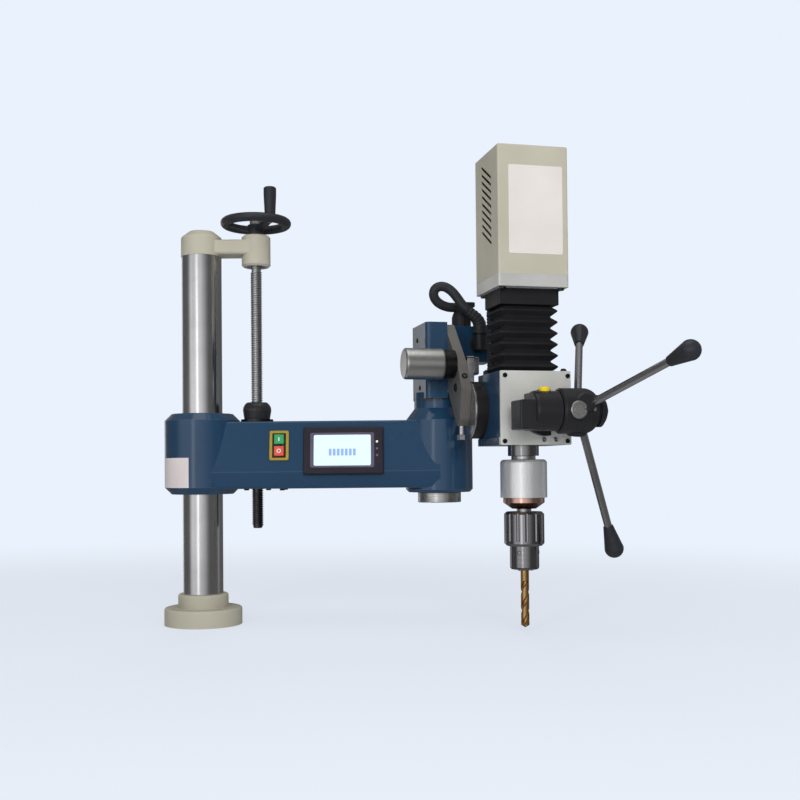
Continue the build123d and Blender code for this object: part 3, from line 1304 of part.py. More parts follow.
def drill_bit():
    length = DRILL_FLUTE_TOP - DRILL_TIP
    section = Circle(DRILL_R)
    for spot in PolarLocations(DRILL_R * 0.95, DRILL_FLUTES):
        section -= spot * Circle(DRILL_R * 0.62)
    twist = 360 * length / DRILL_PITCH
    fluted = Part() + Solid.extrude_linear_with_rotation(section.face(), (0, 0, 0), (0, 0, length), twist)
    shank = rod_z(DRILL_R, length, DRILL_SHANK_TOP - DRILL_TIP)
    reach = 2 * DRILL_R
    below_point = turned_z([(0, 0), (0, -1), (reach, -1), (reach, 2 * DRILL_POINT_H)])
    return Pos(SPINDLE_X, SPINDLE_Y, DRILL_TIP) * (fluted + shank - below_point)


def main():
    os.makedirs("parts", exist_ok=True)
    save("base_flange", base_flange())
    save("column", column())
    save("top_bracket", top_bracket())
    save("screw_bearings", thrust_bearing(SCREW_BOSS_BOTTOM), thrust_bearing(SCREW_BOSS_TOP - BEARING_H))
    save("lift_screw", lift_screw())
    save("handwheel", handwheel())
    save("handwheel_fasteners", handwheel_nut(), grip_bolt())
    save("wheel_grip", wheel_grip())
    save("arm_casting", arm_casting())
    save("arm_bottom_cover", arm_bottom_cover())
    save("arm_bushes", *column_bushes(), *pivot_bushes())
    save("clamp_bolts", *clamp_bolts())
    save("lift_nut", lift_nut())
    save("nut_cover", nut_cover())
    save("screen_housing", screen_housing())
    save("screen_display", screen_display())
    save("switch_plate", switch_plate())
    save("switch_block", switch_block())
    save("start_button", button(1))
    save("stop_button", button(-1))
    save_in_head("turret_block", turret_block())
    save_in_head("pivot_nut", pivot_nut())
    save_in_head("cheek_plate", cheek_plate())
    save_in_head("tilt_dial", tilt_dial())
    save_in_head("tilt_shaft", tilt_shaft())
    save_in_head("index_bush", index_bush())
    save_in_head("index_knob", index_knob())
    save_in_head("hose", hose())
    save_in_head("hose_glands", *hose_glands())
    save_in_head("tilt_drum", tilt_drum())
    save_in_head("index_lug", index_lug())
    save_in_head("head_body", head_body())
    save_in_head("head_base_plate", head_base_plate())
    save_in_head("front_plate", front_plate())
    save_in_head("quill_bushes", *quill_bushes())
    save_in_head("feed_housing", feed_housing())
    save_in_head("oil_plug", oil_plug())
    save_in_head("bellows", bellows())
    save_in_head("capstan_hub", capstan_hub())
    save_in_head("pinion_shaft", pinion_shaft())
    save_in_head("clutch_button", clutch_button())
    save_in_head("lever_rods", *[lever_rod(k) for k in range(LEVERS)])
    save_in_head("lever_knobs", *[lever_knob(k) for k in range(LEVERS)])
    save_in_head("idler_gear", idler_gear())
    save_in_head("quill", quill())
    save_in_head("bellows_collar", bellows_collar())
    save_in_head("motor_base", motor_base())
    save_in_head("motor_cover", motor_cover())
    save_in_head("servo_motor", servo_motor())
    save_in_head("spindle_bearings", *[spindle_bearing(z) for z in bearing_seats()])
    save_in_head("spindle_shaft", spindle_shaft())
    save_in_head("tapping_chuck", tapping_chuck())
    save_in_head("collet_ring", collet_ring())
    save_in_head("chuck_body", chuck_body())
    save_in_head("drill_bit", drill_bit())
    save_in_head("quick_change_sleeve", quick_change_sleeve())
    save_in_head("chuck_sleeve", chuck_sleeve())
    for k in range(JAWS):
        save_in_head(f"chuck_jaw_{k + 1}", chuck_jaw(k))


if __name__ == "__main__":
    main()
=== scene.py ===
import json
import math
import bmesh
import bpy
from mathutils import Matrix, Vector


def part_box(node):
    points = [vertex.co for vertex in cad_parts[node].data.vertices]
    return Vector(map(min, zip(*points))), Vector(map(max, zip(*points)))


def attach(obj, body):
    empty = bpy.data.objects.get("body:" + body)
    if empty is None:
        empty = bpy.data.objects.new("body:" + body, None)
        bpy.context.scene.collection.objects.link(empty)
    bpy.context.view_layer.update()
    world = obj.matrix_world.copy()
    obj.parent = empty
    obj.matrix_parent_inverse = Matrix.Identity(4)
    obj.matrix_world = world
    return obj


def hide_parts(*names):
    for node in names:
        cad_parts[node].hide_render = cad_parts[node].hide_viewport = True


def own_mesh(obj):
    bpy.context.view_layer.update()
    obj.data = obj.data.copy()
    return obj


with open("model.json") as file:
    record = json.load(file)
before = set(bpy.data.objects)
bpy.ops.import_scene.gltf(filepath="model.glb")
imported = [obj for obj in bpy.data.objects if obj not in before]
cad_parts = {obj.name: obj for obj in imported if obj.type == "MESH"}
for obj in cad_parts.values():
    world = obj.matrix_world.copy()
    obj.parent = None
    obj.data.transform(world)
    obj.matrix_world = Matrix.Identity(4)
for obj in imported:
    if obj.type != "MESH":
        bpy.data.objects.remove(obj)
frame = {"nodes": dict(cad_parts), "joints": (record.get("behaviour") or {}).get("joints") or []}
nodes = frame["nodes"]
joints = {j["name"]: j for j in frame["joints"]}
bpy.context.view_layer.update()  # the CAD box, before anything is added
scene = bpy.context.scene
mm = 0.001

# the head has its own axes: origin on the swivel, x along the tilt axis
swivelAt = Vector(joints["head_swivel"]["pos_m"])
tiltAlong = Vector(joints["head_tilt"]["axis"])
headYaw = math.atan2(tiltAlong.y, tiltAlong.x)
headPlace = Matrix.Translation((swivelAt.x, swivelAt.y, 0)) @ Matrix.Rotation(headYaw, 4, "Z")
headBack = headPlace.inverted()


def headBox(node):  # lowest and highest corner of a node in the head's axes
    points = [headBack @ v.co for v in nodes[node].data.vertices]
    low = Vector([min(p[i] for p in points) for i in range(3)])
    high = Vector([max(p[i] for p in points) for i in range(3)])
    return low, high


def reachOf(node, way):  # how far a node goes along a direction
    return max(way.dot(v.co) for v in nodes[node].data.vertices)


def pointing(at, way, side=(0, 0, 1)):  # a place whose z looks along way
    z = Vector(way).normalized()
    x = Vector(side).cross(z)
    if x.length < 0.01:  # way lies along side, so another side is taken
        x = Vector((1, 0, 0)).cross(z) if abs(z.x) < 0.9 else Vector((0, 1, 0)).cross(z)
    x.normalize()
    place = Matrix((x, z.cross(x), z)).transposed().to_4x4()
    place.translation = Vector(at)
    return place


def inHead(at, way, side=(0, 0, 1)):  # the same in the head's axes, in millimetres
    return headPlace @ pointing(Vector(at) * mm, way, side)


# camera at the photograph's place, level with the arm and looking slightly up

camera = {
    "at": (0.3264, -1.8846, 0.2714), "pitch": 1.1287, "roll": -0.5196,  # degrees
    "lens": 47.838, "sensor": 36, "shiftX": 0.016565, "shiftY": 0.059265,
}


def makeCamera():
    s = camera
    data = bpy.data.cameras.new("photoCamera")
    data.lens = s["lens"]
    data.sensor_width = s["sensor"]
    data.shift_x = s["shiftX"]
    data.shift_y = s["shiftY"]
    obj = bpy.data.objects.new("photoCamera", data)
    scene.collection.objects.link(obj)
    up = Matrix.Rotation(math.radians(90 + s["pitch"]), 4, "X")
    lean = Matrix.Rotation(math.radians(s["roll"]), 4, "Z")
    obj.matrix_world = Matrix.Translation(s["at"]) @ up @ lean
    scene.camera = obj


makeCamera()
print("camera set")

# shader nodes that the stage and the finishes share


def tone(r, g, b):  # screen colour, 0 to 255, as a linear colour
    def linear(c):
        c = c / 255
        return c / 12.92 if c <= 0.04045 else ((c + 0.055) / 1.055) ** 2.4
    return linear(r), linear(g), linear(b), 1.0


def startFinish(name, rough, metal=0.0):
    mat = bpy.data.materials.new(name)
    mat.use_nodes = True
    tree = mat.node_tree
    shader = tree.nodes["Principled BSDF"]
    shader.inputs["Roughness"].default_value = rough
    shader.inputs["Metallic"].default_value = metal
    return mat, tree, shader


def setSocket(tree, socket, value):  # links another node's output, or sets a plain value
    if isinstance(value, bpy.types.NodeSocket):
        tree.links.new(value, socket)
    else:
        socket.default_value = value


def addMath(tree, kind, first, second):
    node = tree.nodes.new("ShaderNodeMath")
    node.operation = kind
    setSocket(tree, node.inputs[0], first)
    setSocket(tree, node.inputs[1], second)
    return node.outputs[0]


def addRange(tree, value, low, high, inLow=0.3, inHigh=0.7, curve="LINEAR"):
    node = tree.nodes.new("ShaderNodeMapRange")
    node.interpolation_type = curve
    settings = {"Value": value, "From Min": inLow, "From Max": inHigh, "To Min": low, "To Max": high}
    for name, setting in settings.items():
        setSocket(tree, node.inputs[name], setting)
    return node.outputs["Result"]


def addMix(tree, share, first, second):  # between two shaders, by a share from 0 to 1
    node = tree.nodes.new("ShaderNodeMixShader")
    for socket, value in zip(node.inputs, (share, first, second)):
        tree.links.new(value, socket)
    return node.outputs[0]


def addPlace(tree):
    return tree.nodes.new("ShaderNodeTexCoord").outputs["Object"]


def addAxes(tree):  # x, y and z of the place
    node = tree.nodes.new("ShaderNodeSeparateXYZ")
    tree.links.new(addPlace(tree), node.inputs[0])
    return node.outputs


def addSeen(tree):  # 1 for what the camera, a mirror or glass sees, 0 for light
    path = tree.nodes.new("ShaderNodeLightPath").outputs
    share = addMath(tree, "MAXIMUM", path["Is Camera Ray"], path["Is Glossy Ray"])
    return addMath(tree, "MAXIMUM", share, path["Is Transmission Ray"])


# world, floor, walls and lamps

stage = {
    "pale": tone(234, 242, 253),  # the background
    "skyLight": 0.36,
    "floorSize": 40, "floorColour": tone(226, 231, 238), "floorRough": 0.65, "floorGloss": 0.2,
    "floorNear": 0.7, "floorFar": 2.4,  # from near to far the floor fades into the background
    "floorPale": 0.66,  # share of the background colour that the floor has up to near
}


def makeWorld():
    world = bpy.data.worlds.new("paleRoom")
    scene.world = world
    world.use_nodes = True
    tree = world.node_tree
    tree.nodes.clear()
    out = tree.nodes.new("ShaderNodeOutputWorld")
    light = tree.nodes.new("ShaderNodeBackground")
    light.inputs["Color"].default_value = (1, 1, 1, 1)
    light.inputs["Strength"].default_value = stage["skyLight"]
    seen = tree.nodes.new("ShaderNodeBackground")
    seen.inputs["Color"].default_value = stage["pale"]
    tree.links.new(addMix(tree, addSeen(tree), light.outputs[0], seen.outputs[0]), out.inputs["Surface"])


def stageObject(name, bm, mat):
    mesh = bpy.data.meshes.new(name)
    bm.to_mesh(mesh)
    bm.free()
    mesh.materials.append(mat)
    obj = bpy.data.objects.new(name, mesh)
    scene.collection.objects.link(obj)
    return obj


def makeFloor():
    s = stage
    bm = bmesh.new()
    bmesh.ops.create_grid(bm, x_segments=1, y_segments=1, size=s["floorSize"])
    mat, tree, shader = startFinish("paleFloor", s["floorRough"])
    shader.inputs["Base Color"].default_value = s["floorColour"]
    shader.inputs["Specular IOR Level"].default_value = s["floorGloss"]
    glow = tree.nodes.new("ShaderNodeEmission")
    glow.inputs["Color"].default_value = s["pale"]
    away = tree.nodes.new("ShaderNodeVectorMath")
    away.operation = "LENGTH"
    tree.links.new(addPlace(tree), away.inputs[0])
    away = away.outputs["Value"]
    fade = addRange(tree, away, s["floorPale"], 1, s["floorNear"], s["floorFar"], "SMOOTHSTEP")
    share = addMath(tree, "MULTIPLY", fade, addSeen(tree))
    mixed = addMix(tree, share, shader.outputs[0], glow.outputs[0])
    tree.links.new(mixed, tree.nodes["Material Output"].inputs["Surface"])
    stageObject("floor", bm, mat).visible_glossy = False


walls = {  # a dim round room that only shows in reflections, so that bright metal has dark and light bands
    "size": 9, "segments": (48, 24),
    # strength, and the turns where it starts, is full, fades and ends: 0 in front, plus to the right
    "glows": (
        (0.95, -1.45, -0.9, -0.2, 1.1),     # pale left front
        (2.3, -0.48, -0.38, -0.28, -0.18),  # narrow strip for the streaks on round paint and steel
        (0.3325, 1.65, 1.85, 1.95, 2.15),   # faint right side
        (0.95, -2.8, -2.62, -2.5, -2.3),    # left back
    ),
    # two heights as shares of the size, and the strength at each
    "fadeLow": (-0.3, -0.06, 0.08, 1), "fadeHigh": (0.24, 0.42, 1, 0.25),
    "ground": (-0.8, -0.4, 0.28, 0), "ceiling": (0.5, 0.95, 0.13, 0.3),
}


def makeWalls():
    s = walls
    bm = bmesh.new()
    across, up = s["segments"]
    bmesh.ops.create_uvsphere(bm, u_segments=across, v_segments=up, radius=s["size"])
    mat, tree, shader = startFinish("dimWall", 1)
    tree.nodes.remove(shader)
    x, y, z = addAxes(tree)
    turn = addMath(tree, "ARCTAN2", x, addMath(tree, "MULTIPLY", y, -1))

    def ramp(value, start, end, first, last):
        return addRange(tree, value, first, last, start, end, "SMOOTHSTEP")

    def rise(start, end, first, last):
        return ramp(z, s["size"] * start, s["size"] * end, first, last)

    light = addMath(tree, "MAXIMUM", rise(*s["ceiling"]), rise(*s["ground"]))
    band = addMath(tree, "MINIMUM", rise(*s["fadeLow"]), rise(*s["fadeHigh"]))
    for strength, start, full, fade, end in s["glows"]:
        rising, falling = ramp(turn, start, full, 0, strength), ramp(turn, fade, end, strength, 0)
        spread = addMath(tree, "MULTIPLY", addMath(tree, "MINIMUM", rising, falling), band)
        light = addMath(tree, "MAXIMUM", light, spread)
    glow = tree.nodes.new("ShaderNodeEmission")
    tree.links.new(light, glow.inputs["Strength"])
    tree.links.new(glow.outputs[0], tree.nodes["Material Output"].inputs["Surface"])
    obj = stageObject("studioWall", bm, mat)
    obj.visible_camera = False
    obj.visible_diffuse = False
    obj.visible_transmission = False
    obj.visible_volume_scatter = False
    obj.visible_shadow = False


lamps = {  # the mirrored one also shows in reflections
    "frontKey": {"at": (-0.55, -2.3, 1.0), "aim": (0.3, 0, 0.4), "size": (0.35, 1.5), "watts": 13},
    "frontFill": {"at": (0.9, -2.5, 1.4), "aim": (0.4, 0, 0.4), "size": (1.2, 1.0), "watts": 30},
    "topSoft": {"at": (0.3, -0.4, 2.4), "aim": (0.3, 0, 0.3), "size": (1.8, 1.4), "watts": 9,
                "mirrored": True},
    "backSoft": {"at": (0.0, 2.4, 1.6), "aim": (0.3, 0, 0.4), "size": (1.4, 1.2), "watts": 16},
}


def makeLamps():
    for name, lamp in lamps.items():
        data = bpy.data.lights.new(name, "AREA")
        data.shape = "RECTANGLE"
        data.size, data.size_y = lamp["size"]
        data.energy = lamp["watts"]
        obj = bpy.data.objects.new(name, data)
        scene.collection.objects.link(obj)
        obj.visible_glossy = lamp.get("mirrored", False)
        way = Vector(lamp["aim"]) - Vector(lamp["at"])
        turn = way.to_track_quat("-Z", "Y").to_matrix().to_4x4()
        obj.matrix_world = Matrix.Translation(lamp["at"]) @ turn


makeWorld()
makeFloor()
makeWalls()
makeLamps()
scene.view_settings.view_transform = "Standard"
print("world, floor, walls and", len(lamps), "lamps set")


# finishes, all read from Object coordinates


def addPattern(tree, scale, detail=3.0, stretch=(1, 1, 1), turn=0.0):  # noise, drawn out by stretch
    mapping = tree.nodes.new("ShaderNodeMapping")
    mapping.vector_type = "TEXTURE"
    mapping.inputs["Rotation"].default_value = (0, 0, turn)
    mapping.inputs["Scale"].default_value = stretch
    noise = tree.nodes.new("ShaderNodeTexNoise")
    noise.inputs["Scale"].default_value = scale
    noise.inputs["Detail"].default_value = detail
    tree.links.new(addPlace(tree), mapping.inputs["Vector"])
    tree.links.new(mapping.outputs["Vector"], noise.inputs["Vector"])
    return noise.outputs["Fac"]


def addBlend(tree, share, first, second):  # colour between two, by a share from 0 to 1
    node = tree.nodes.new("ShaderNodeMix")
    node.data_type = "RGBA"
    tree.links.new(share, node.inputs["Factor"])
    for name, colour in (("A", first), ("B", second)):
        socket = [i for i in node.inputs if i.name == name and i.type == "RGBA"][0]
        setSocket(tree, socket, colour)
    return [o for o in node.outputs if o.type == "RGBA"][0]


def shade(colour, factor):
    return tuple(min(1.0, c * factor) for c in colour[:3]) + (1.0,)


def addTint(tree, colour, scale, detail, dark, pale):  # the colour in patches, from a darker to a paler one
    patches = addRange(tree, addPattern(tree, scale, detail), 0, 1)
    return addBlend(tree, patches, shade(colour, dark), shade(colour, pale))


def addRough(tree, shader, pattern, rough, less, more):
    tree.links.new(addRange(tree, pattern, rough - less, rough + more), shader.inputs["Roughness"])


def addBump(tree, height, strength, depth, under=None):
    node = tree.nodes.new("ShaderNodeBump")
    node.inputs["Strength"].default_value = strength
    node.inputs["Distance"].default_value = depth
    tree.links.new(height, node.inputs["Height"])
    if under is not None:
        tree.links.new(under, node.inputs["Normal"])
    return node.outputs["Normal"]


def addSoftEdge(tree, radius):  # rounds sharp edges in the shading
    node = tree.nodes.new("ShaderNodeBevel")
    node.samples = 4
    node.inputs["Radius"].default_value = radius
    return node.outputs["Normal"]


def addEdgeWearAndHighlight(tree, radius, wornAndLit=0.9, sound=0.985):  # 1 on an edge, paler for wear and a painted highlight, 0 on the flat
    shape = tree.nodes.new("ShaderNodeNewGeometry")
    alike = tree.nodes.new("ShaderNodeVectorMath")
    alike.operation = "DOT_PRODUCT"
    tree.links.new(addSoftEdge(tree, radius), alike.inputs[0])
    tree.links.new(shape.outputs["True Normal"], alike.inputs[1])
    return addRange(tree, alike.outputs["Value"], 1, 0, wornAndLit, sound)


enamel = {
    "patches": 9, "patchTones": (0.92, 1.06), "sheen": 22, "sheenRange": (0.05, 0.07), "detail": 4,
    "peelScale": 330, "peelDetail": 2, "peelDepth": 0.0006,
    # the reach after edge is that of the paler edges, for wear and a painted highlight
    "edge": 0.0008, "wearAndHighlight": 0.0016, "coatRough": 0.12,
}


def paintFinish(name, colour, rough, peel=0.12, gloss=0.3, coat=0.1, rubbedAndLit=1.12):
    # faint patches, paler edges for wear and a painted highlight, orange peel, soft edges
    s = enamel
    mat, tree, shader = startFinish(name, rough)
    whole = addTint(tree, colour, s["patches"], s["detail"], *s["patchTones"])
    # edges made paler, for wear and a painted highlight
    wornAndLit = addBlend(tree, addEdgeWearAndHighlight(tree, s["wearAndHighlight"]), whole, shade(colour, rubbedAndLit))
    tree.links.new(wornAndLit, shader.inputs["Base Color"])
    addRough(tree, shader, addPattern(tree, s["sheen"], s["detail"]), rough, *s["sheenRange"])
    skin = addPattern(tree, s["peelScale"], s["peelDetail"])
    skin = addBump(tree, skin, peel, s["peelDepth"], addSoftEdge(tree, s["edge"]))
    tree.links.new(skin, shader.inputs["Normal"])
    shader.inputs["Specular IOR Level"].default_value = gloss
    shader.inputs["Coat Weight"].default_value = coat
    shader.inputs["Coat Roughness"].default_value = s["coatRough"]
    return mat


# the last factor makes the edges paler, for wear and a painted highlight; strongest on the blue
paints = {
    "creamPaint": dict(colour=tone(182, 177, 160), rough=0.48),
    "bluePaint": dict(colour=tone(29, 61, 89), rough=0.4, peel=0.05, gloss=0.14, coat=0.8, rubbedAndLit=2.4),
    "blackPaint": dict(colour=tone(34, 34, 37), rough=0.36, rubbedAndLit=1.7),
    "drumBlack": dict(colour=tone(30, 28, 28), rough=0.42, rubbedAndLit=1.7),
    "palePlate": dict(colour=tone(218, 211, 206), rough=0.48, peel=0.03),
    "pinkPlate": dict(colour=tone(218, 208, 206), rough=0.45, peel=0.03),
}

ringsZ = (30, 30, 1)  # noise drawn out round a vertical axis, so it reads as turning marks
ringsX = (1, 30, 30)
alongZ = (1, 1, 40)   # drawn out along the vertical
alongX = (40, 1, 1)

steel = {
    "stains": 14, "stainDetail": 4, "stainTones": (0.88, 1.05), "sheenRange": (0.07, 0.09),
    "grainDetail": 3, "grainDepth": 0.0003,
}


def steelFinish(name, colour, rough, stretch=(1, 1, 1), turn=0.0, lines=240, depth=0.05, metal=1.0,
                edge=0.0006):
    # faint stains, and a grain of fine lines
    s = steel
    mat, tree, shader = startFinish(name, rough, metal)
    grain = addPattern(tree, lines, s["grainDetail"], stretch, turn)
    tint = addTint(tree, colour, s["stains"], s["stainDetail"], *s["stainTones"])
    tree.links.new(tint, shader.inputs["Base Color"])
    addRough(tree, shader, grain, rough, *s["sheenRange"])
    under = addSoftEdge(tree, edge) if edge else None
    tree.links.new(addBump(tree, grain, depth, s["grainDepth"], under), shader.inputs["Normal"])
    return mat


metals = {
    "columnSteel": dict(colour=tone(205, 205, 207), rough=0.2, stretch=alongZ, lines=120, depth=0.02,
                        edge=0),
    "turnedSteel": dict(colour=tone(190, 190, 190), rough=0.3, stretch=ringsZ, lines=420),
    "brightSteel": dict(colour=tone(208, 208, 210), rough=0.26, lines=30, depth=0.004),
    "sleeveSteel": dict(colour=tone(230, 230, 231), rough=0.3, stretch=alongZ, lines=160, metal=0.7),
    "darkSteel": dict(colour=tone(62, 62, 64), rough=0.34, lines=120),
    "chuckGrey": dict(colour=tone(140, 140, 143), rough=0.15, stretch=alongZ, lines=160, depth=0.02),
    "chuckSteel": dict(colour=tone(142, 141, 144), rough=0.16, stretch=ringsZ, lines=420, depth=0.03),
    "screwSteel": dict(colour=tone(168, 168, 170), rough=0.3, stretch=ringsZ, lines=300, depth=0.02,
                       edge=0),
    "stainless": dict(colour=tone(238, 238, 232), rough=0.5, stretch=alongX, turn=headYaw, lines=260,
                      metal=0.5),
    "baseCasting": dict(colour=tone(222, 221, 218), rough=0.45, lines=300, depth=0.02, metal=0.5),
    "knobAluminium": dict(colour=tone(200, 200, 197), rough=0.36, stretch=ringsX, turn=headYaw, lines=420,
                          depth=0.08),
    "greyCasting": dict(colour=tone(126, 124, 120), rough=0.52, lines=420, depth=0.2, metal=0.6),
    "chrome": dict(colour=tone(222, 222, 222), rough=0.12, lines=60, depth=0.01),
    "leverSteel": dict(colour=tone(192, 192, 195), rough=0.24, lines=40, depth=0.004, edge=0),
    "bronze": dict(colour=tone(128, 106, 74), rough=0.4, stretch=ringsZ, lines=300),
    "copper": dict(colour=tone(214, 176, 162), rough=0.2, stretch=ringsZ, lines=300, depth=0.02),
    "gold": dict(colour=tone(198, 158, 104), rough=0.3, lines=200),
    "yellowPlate": dict(colour=tone(178, 152, 58), rough=0.45, lines=300, metal=0.3),
}

plastic = {"clouds": 30, "cloudTones": (0.9, 1.1), "sheen": 60, "sheenRange": (0.06, 0.06), "detail": 3,
           "gloss": 0.3, "grainDetail": 2, "grainDepth": 0.0004, "edge": 0.0006}


def plasticFinish(name, colour, rough, grain=0.1, scale=900):
    s = plastic
    mat, tree, shader = startFinish(name, rough)
    shader.inputs["Specular IOR Level"].default_value = s["gloss"]
    tint = addTint(tree, colour, s["clouds"], s["detail"], *s["cloudTones"])
    tree.links.new(tint, shader.inputs["Base Color"])
    addRough(tree, shader, addPattern(tree, s["sheen"], s["detail"]), rough, *s["sheenRange"])
    fine = addPattern(tree, scale, s["grainDetail"])
    fine = addBump(tree, fine, grain, s["grainDepth"], addSoftEdge(tree, s["edge"]))
    tree.links.new(fine, shader.inputs["Normal"])
    return mat


plastics = {
    "blackPlastic": dict(colour=tone(36, 36, 39), rough=0.42),
    "capRubber": dict(colour=tone(44, 44, 46), rough=0.26, grain=0.9, scale=130),
    "gripBlack": dict(colour=tone(44, 45, 50), rough=0.34, grain=0.05),
    "hoseRubber": dict(colour=tone(44, 46, 49), rough=0.42, grain=0.06, scale=500),
    "bellowsCloth": dict(colour=tone(31, 31, 33), rough=0.5, grain=0.25, scale=1400),
    "bezelPlastic": dict(colour=tone(40, 36, 46), rough=0.5),
    "framePlastic": dict(colour=tone(92, 86, 106), rough=0.4),
    "yellowPlastic": dict(colour=tone(240, 205, 30), rough=0.3),
    "greenPlastic": dict(colour=tone(60, 156, 98), rough=0.38),
    "redPlastic": dict(colour=tone(214, 92, 76), rough=0.38),
    "markWhite": dict(colour=tone(236, 236, 232), rough=0.4),
    "lampDark": dict(colour=tone(120, 112, 118), rough=0.25),
}

glass = {"rough": 0.18, "body": 0.3, "clouds": 25, "cloudDetail": 2, "cloudTones": (0.97, 1)}


def glowFinish(name, colour, strength):
    s = glass
    mat, tree, shader = startFinish(name, s["rough"])
    shader.inputs["Base Color"].default_value = shade(colour, s["body"])
    tint = addTint(tree, colour, s["clouds"], s["cloudDetail"], *s["cloudTones"])
    tree.links.new(tint, shader.inputs["Emission Color"])
    shader.inputs["Emission Strength"].default_value = strength
    return mat


glows = {
    "display": dict(colour=tone(222, 245, 252), strength=0.85),
    "lampLit": dict(colour=tone(236, 236, 210), strength=0.9),
    "barBlue": dict(colour=tone(150, 178, 238), strength=0.8),
}

threadShade = {
    "colour": tone(186, 186, 188), "shadeColour": tone(70, 70, 73),
    "rough": 0.3, "sheenRange": (0.06, 0.08), "lines": 300, "lineDetail": 3,
    "fade": (-0.01, 0.07),  # from painted shade to unshaded steel, heights over the arm's underside
    "stains": 60, "stainDetail": 4, "stainRange": (0.75, 1), "stainTone": 0.7,
}


def shadedThreadFinish(name):  # bright steel, darkened below the arm with painted shade
    s = threadShade
    mat, tree, shader = startFinish(name, s["rough"], 1.0)
    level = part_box("arm_bottom_cover")[0][2]
    unshaded = addRange(tree, addAxes(tree)[2], 0, 1, level + s["fade"][0], level + s["fade"][1])
    stain = addRange(tree, addPattern(tree, s["stains"], s["stainDetail"]), *s["stainRange"])
    bright = addBlend(tree, stain, shade(s["colour"], s["stainTone"]), s["colour"])
    # painted shade below the arm, fading to the bright steel above
    tree.links.new(addBlend(tree, unshaded, s["shadeColour"], bright), shader.inputs["Base Color"])
    rings = addPattern(tree, s["lines"], s["lineDetail"], ringsZ)
    addRough(tree, shader, rings, s["rough"], *s["sheenRange"])
    return mat


finishes = {"shadedThread": shadedThreadFinish("shadedThread")}
makers = ((paintFinish, paints), (steelFinish, metals), (plasticFinish, plastics), (glowFinish, glows))
for make, kinds in makers:
    for name, settings in kinds.items():
        finishes[name] = make(name, **settings)
print("finishes:", len(finishes))

nodeFinish = {
    "creamPaint": ("base_flange", "top_bracket", "motor_cover"),
    "bluePaint": ("arm_casting", "arm_bottom_cover", "turret_block", "head_body"),
    "blackPaint": ("feed_housing", "capstan_hub", "servo_motor"),
    "drumBlack": ("tilt_drum",),
    "columnSteel": ("column",),
    "turnedSteel": ("screw_bearings", "pivot_nut", "spindle_bearings", "spindle_shaft", "tapping_chuck"),
    "brightSteel": ("tilt_dial", "tilt_shaft", "index_lug", "head_base_plate", "pinion_shaft",
                    "idler_gear", "chuck_jaw_1", "chuck_jaw_2", "chuck_jaw_3"),
    "sleeveSteel": ("quick_change_sleeve",),
    "darkSteel": ("lift_nut", "clamp_bolts", "index_bush"),
    "chuckGrey": ("chuck_sleeve",),
    "chuckSteel": ("quill", "chuck_body"),
    "screwSteel": ("lift_screw", "handwheel_fasteners"),
    "stainless": ("front_plate",),
    "baseCasting": ("motor_base",),
    "knobAluminium": ("index_knob", "clutch_button"),
    "greyCasting": ("cheek_plate",),
    "leverSteel": ("lever_rods",),
    "bronze": ("arm_bushes", "quill_bushes"),
    "copper": ("collet_ring",),
    "gold": ("drill_bit",),
    "yellowPlate": ("switch_plate",),
    "blackPlastic": ("switch_block", "hose_glands"),
    "capRubber": ("nut_cover",),
    "gripBlack": ("handwheel", "wheel_grip", "lever_knobs"),
    "hoseRubber": ("hose",),
    "bellowsCloth": ("bellows", "bellows_collar"),
    "bezelPlastic": ("screen_housing",),
    "yellowPlastic": ("oil_plug",),
    "greenPlastic": ("start_button",),
    "redPlastic": ("stop_button",),
    "display": ("screen_display",),
}

for kind, names in nodeFinish.items():
    for name in names:
        nodes[name].data.materials.clear()
        nodes[name].data.materials.append(finishes[kind])
print("CAD nodes dressed:", sum(len(names) for names in nodeFinish.values()))


# shapes for the pieces made here: each is made on its own round z, then put in its place

hexSides = 6
roundSides = 24  # four for each side of a hexagon, so that the two can be bridged


def sizes(**lengths):  # lengths given in millimetres
    return {name: value * mm for name, value in lengths.items()}


def put(bm, part, place, paint):  # adds a finished shape to a piece
    bmesh.ops.remove_doubles(part, verts=part.verts, dist=1e-6)
    bmesh.ops.recalc_face_normals(part, faces=part.faces)
    bmesh.ops.transform(part, matrix=place, verts=part.verts)
    for face in part.faces:
        face.material_index = paint
    mesh = bpy.data.meshes.new("shape")
    part.to_mesh(mesh)
    part.free()
    bm.from_mesh(mesh)
    bpy.data.meshes.remove(mesh)


def turned(bm, place, profile, count=40, paint=0, hollow=False):  # radius, height pairs from the low end up
    part = bmesh.new()
    line = profile if hollow else [(0, profile[0][1]), *profile, (0, profile[-1][1])]
    points = [part.verts.new((radius, 0, height)) for radius, height in line]
    ends = points[1:] + points[:1] if hollow else points[1:]
    edges = [part.edges.new(pair) for pair in zip(points, ends)]
    bmesh.ops.spin(part, geom=points + edges, cent=(0, 0, 0), axis=(0, 0, 1), angle=math.tau, steps=count,
                   use_merge=True)
    put(bm, part, place, paint)


def scaled(radius, shape):  # a profile from shares of a radius and heights in millimetres
    return [(radius * share, height * mm) for share, height in shape]


def addLoop(part, sides, reach, height):  # a circle, or a hexagon whose sides are cut to match one
    old = set(part.edges)
    reach = reach / math.cos(math.pi / hexSides) if sides == hexSides else reach
    bmesh.ops.create_circle(part, segments=sides, radius=reach, matrix=Matrix.Translation((0, 0, height)))
    if sides == hexSides:
        cuts = roundSides // hexSides - 1
        bmesh.ops.subdivide_edges(part, edges=[e for e in part.edges if e not in old], cuts=cuts)
    return [e for e in part.edges if e not in old]


def closeRows(part, rows):  # skin over loops of edges, with both ends closed
    for first, second in zip(rows, rows[1:]):
        bmesh.ops.bridge_loops(part, edges=first + second)
    bmesh.ops.holes_fill(part, edges=part.edges, sides=0)


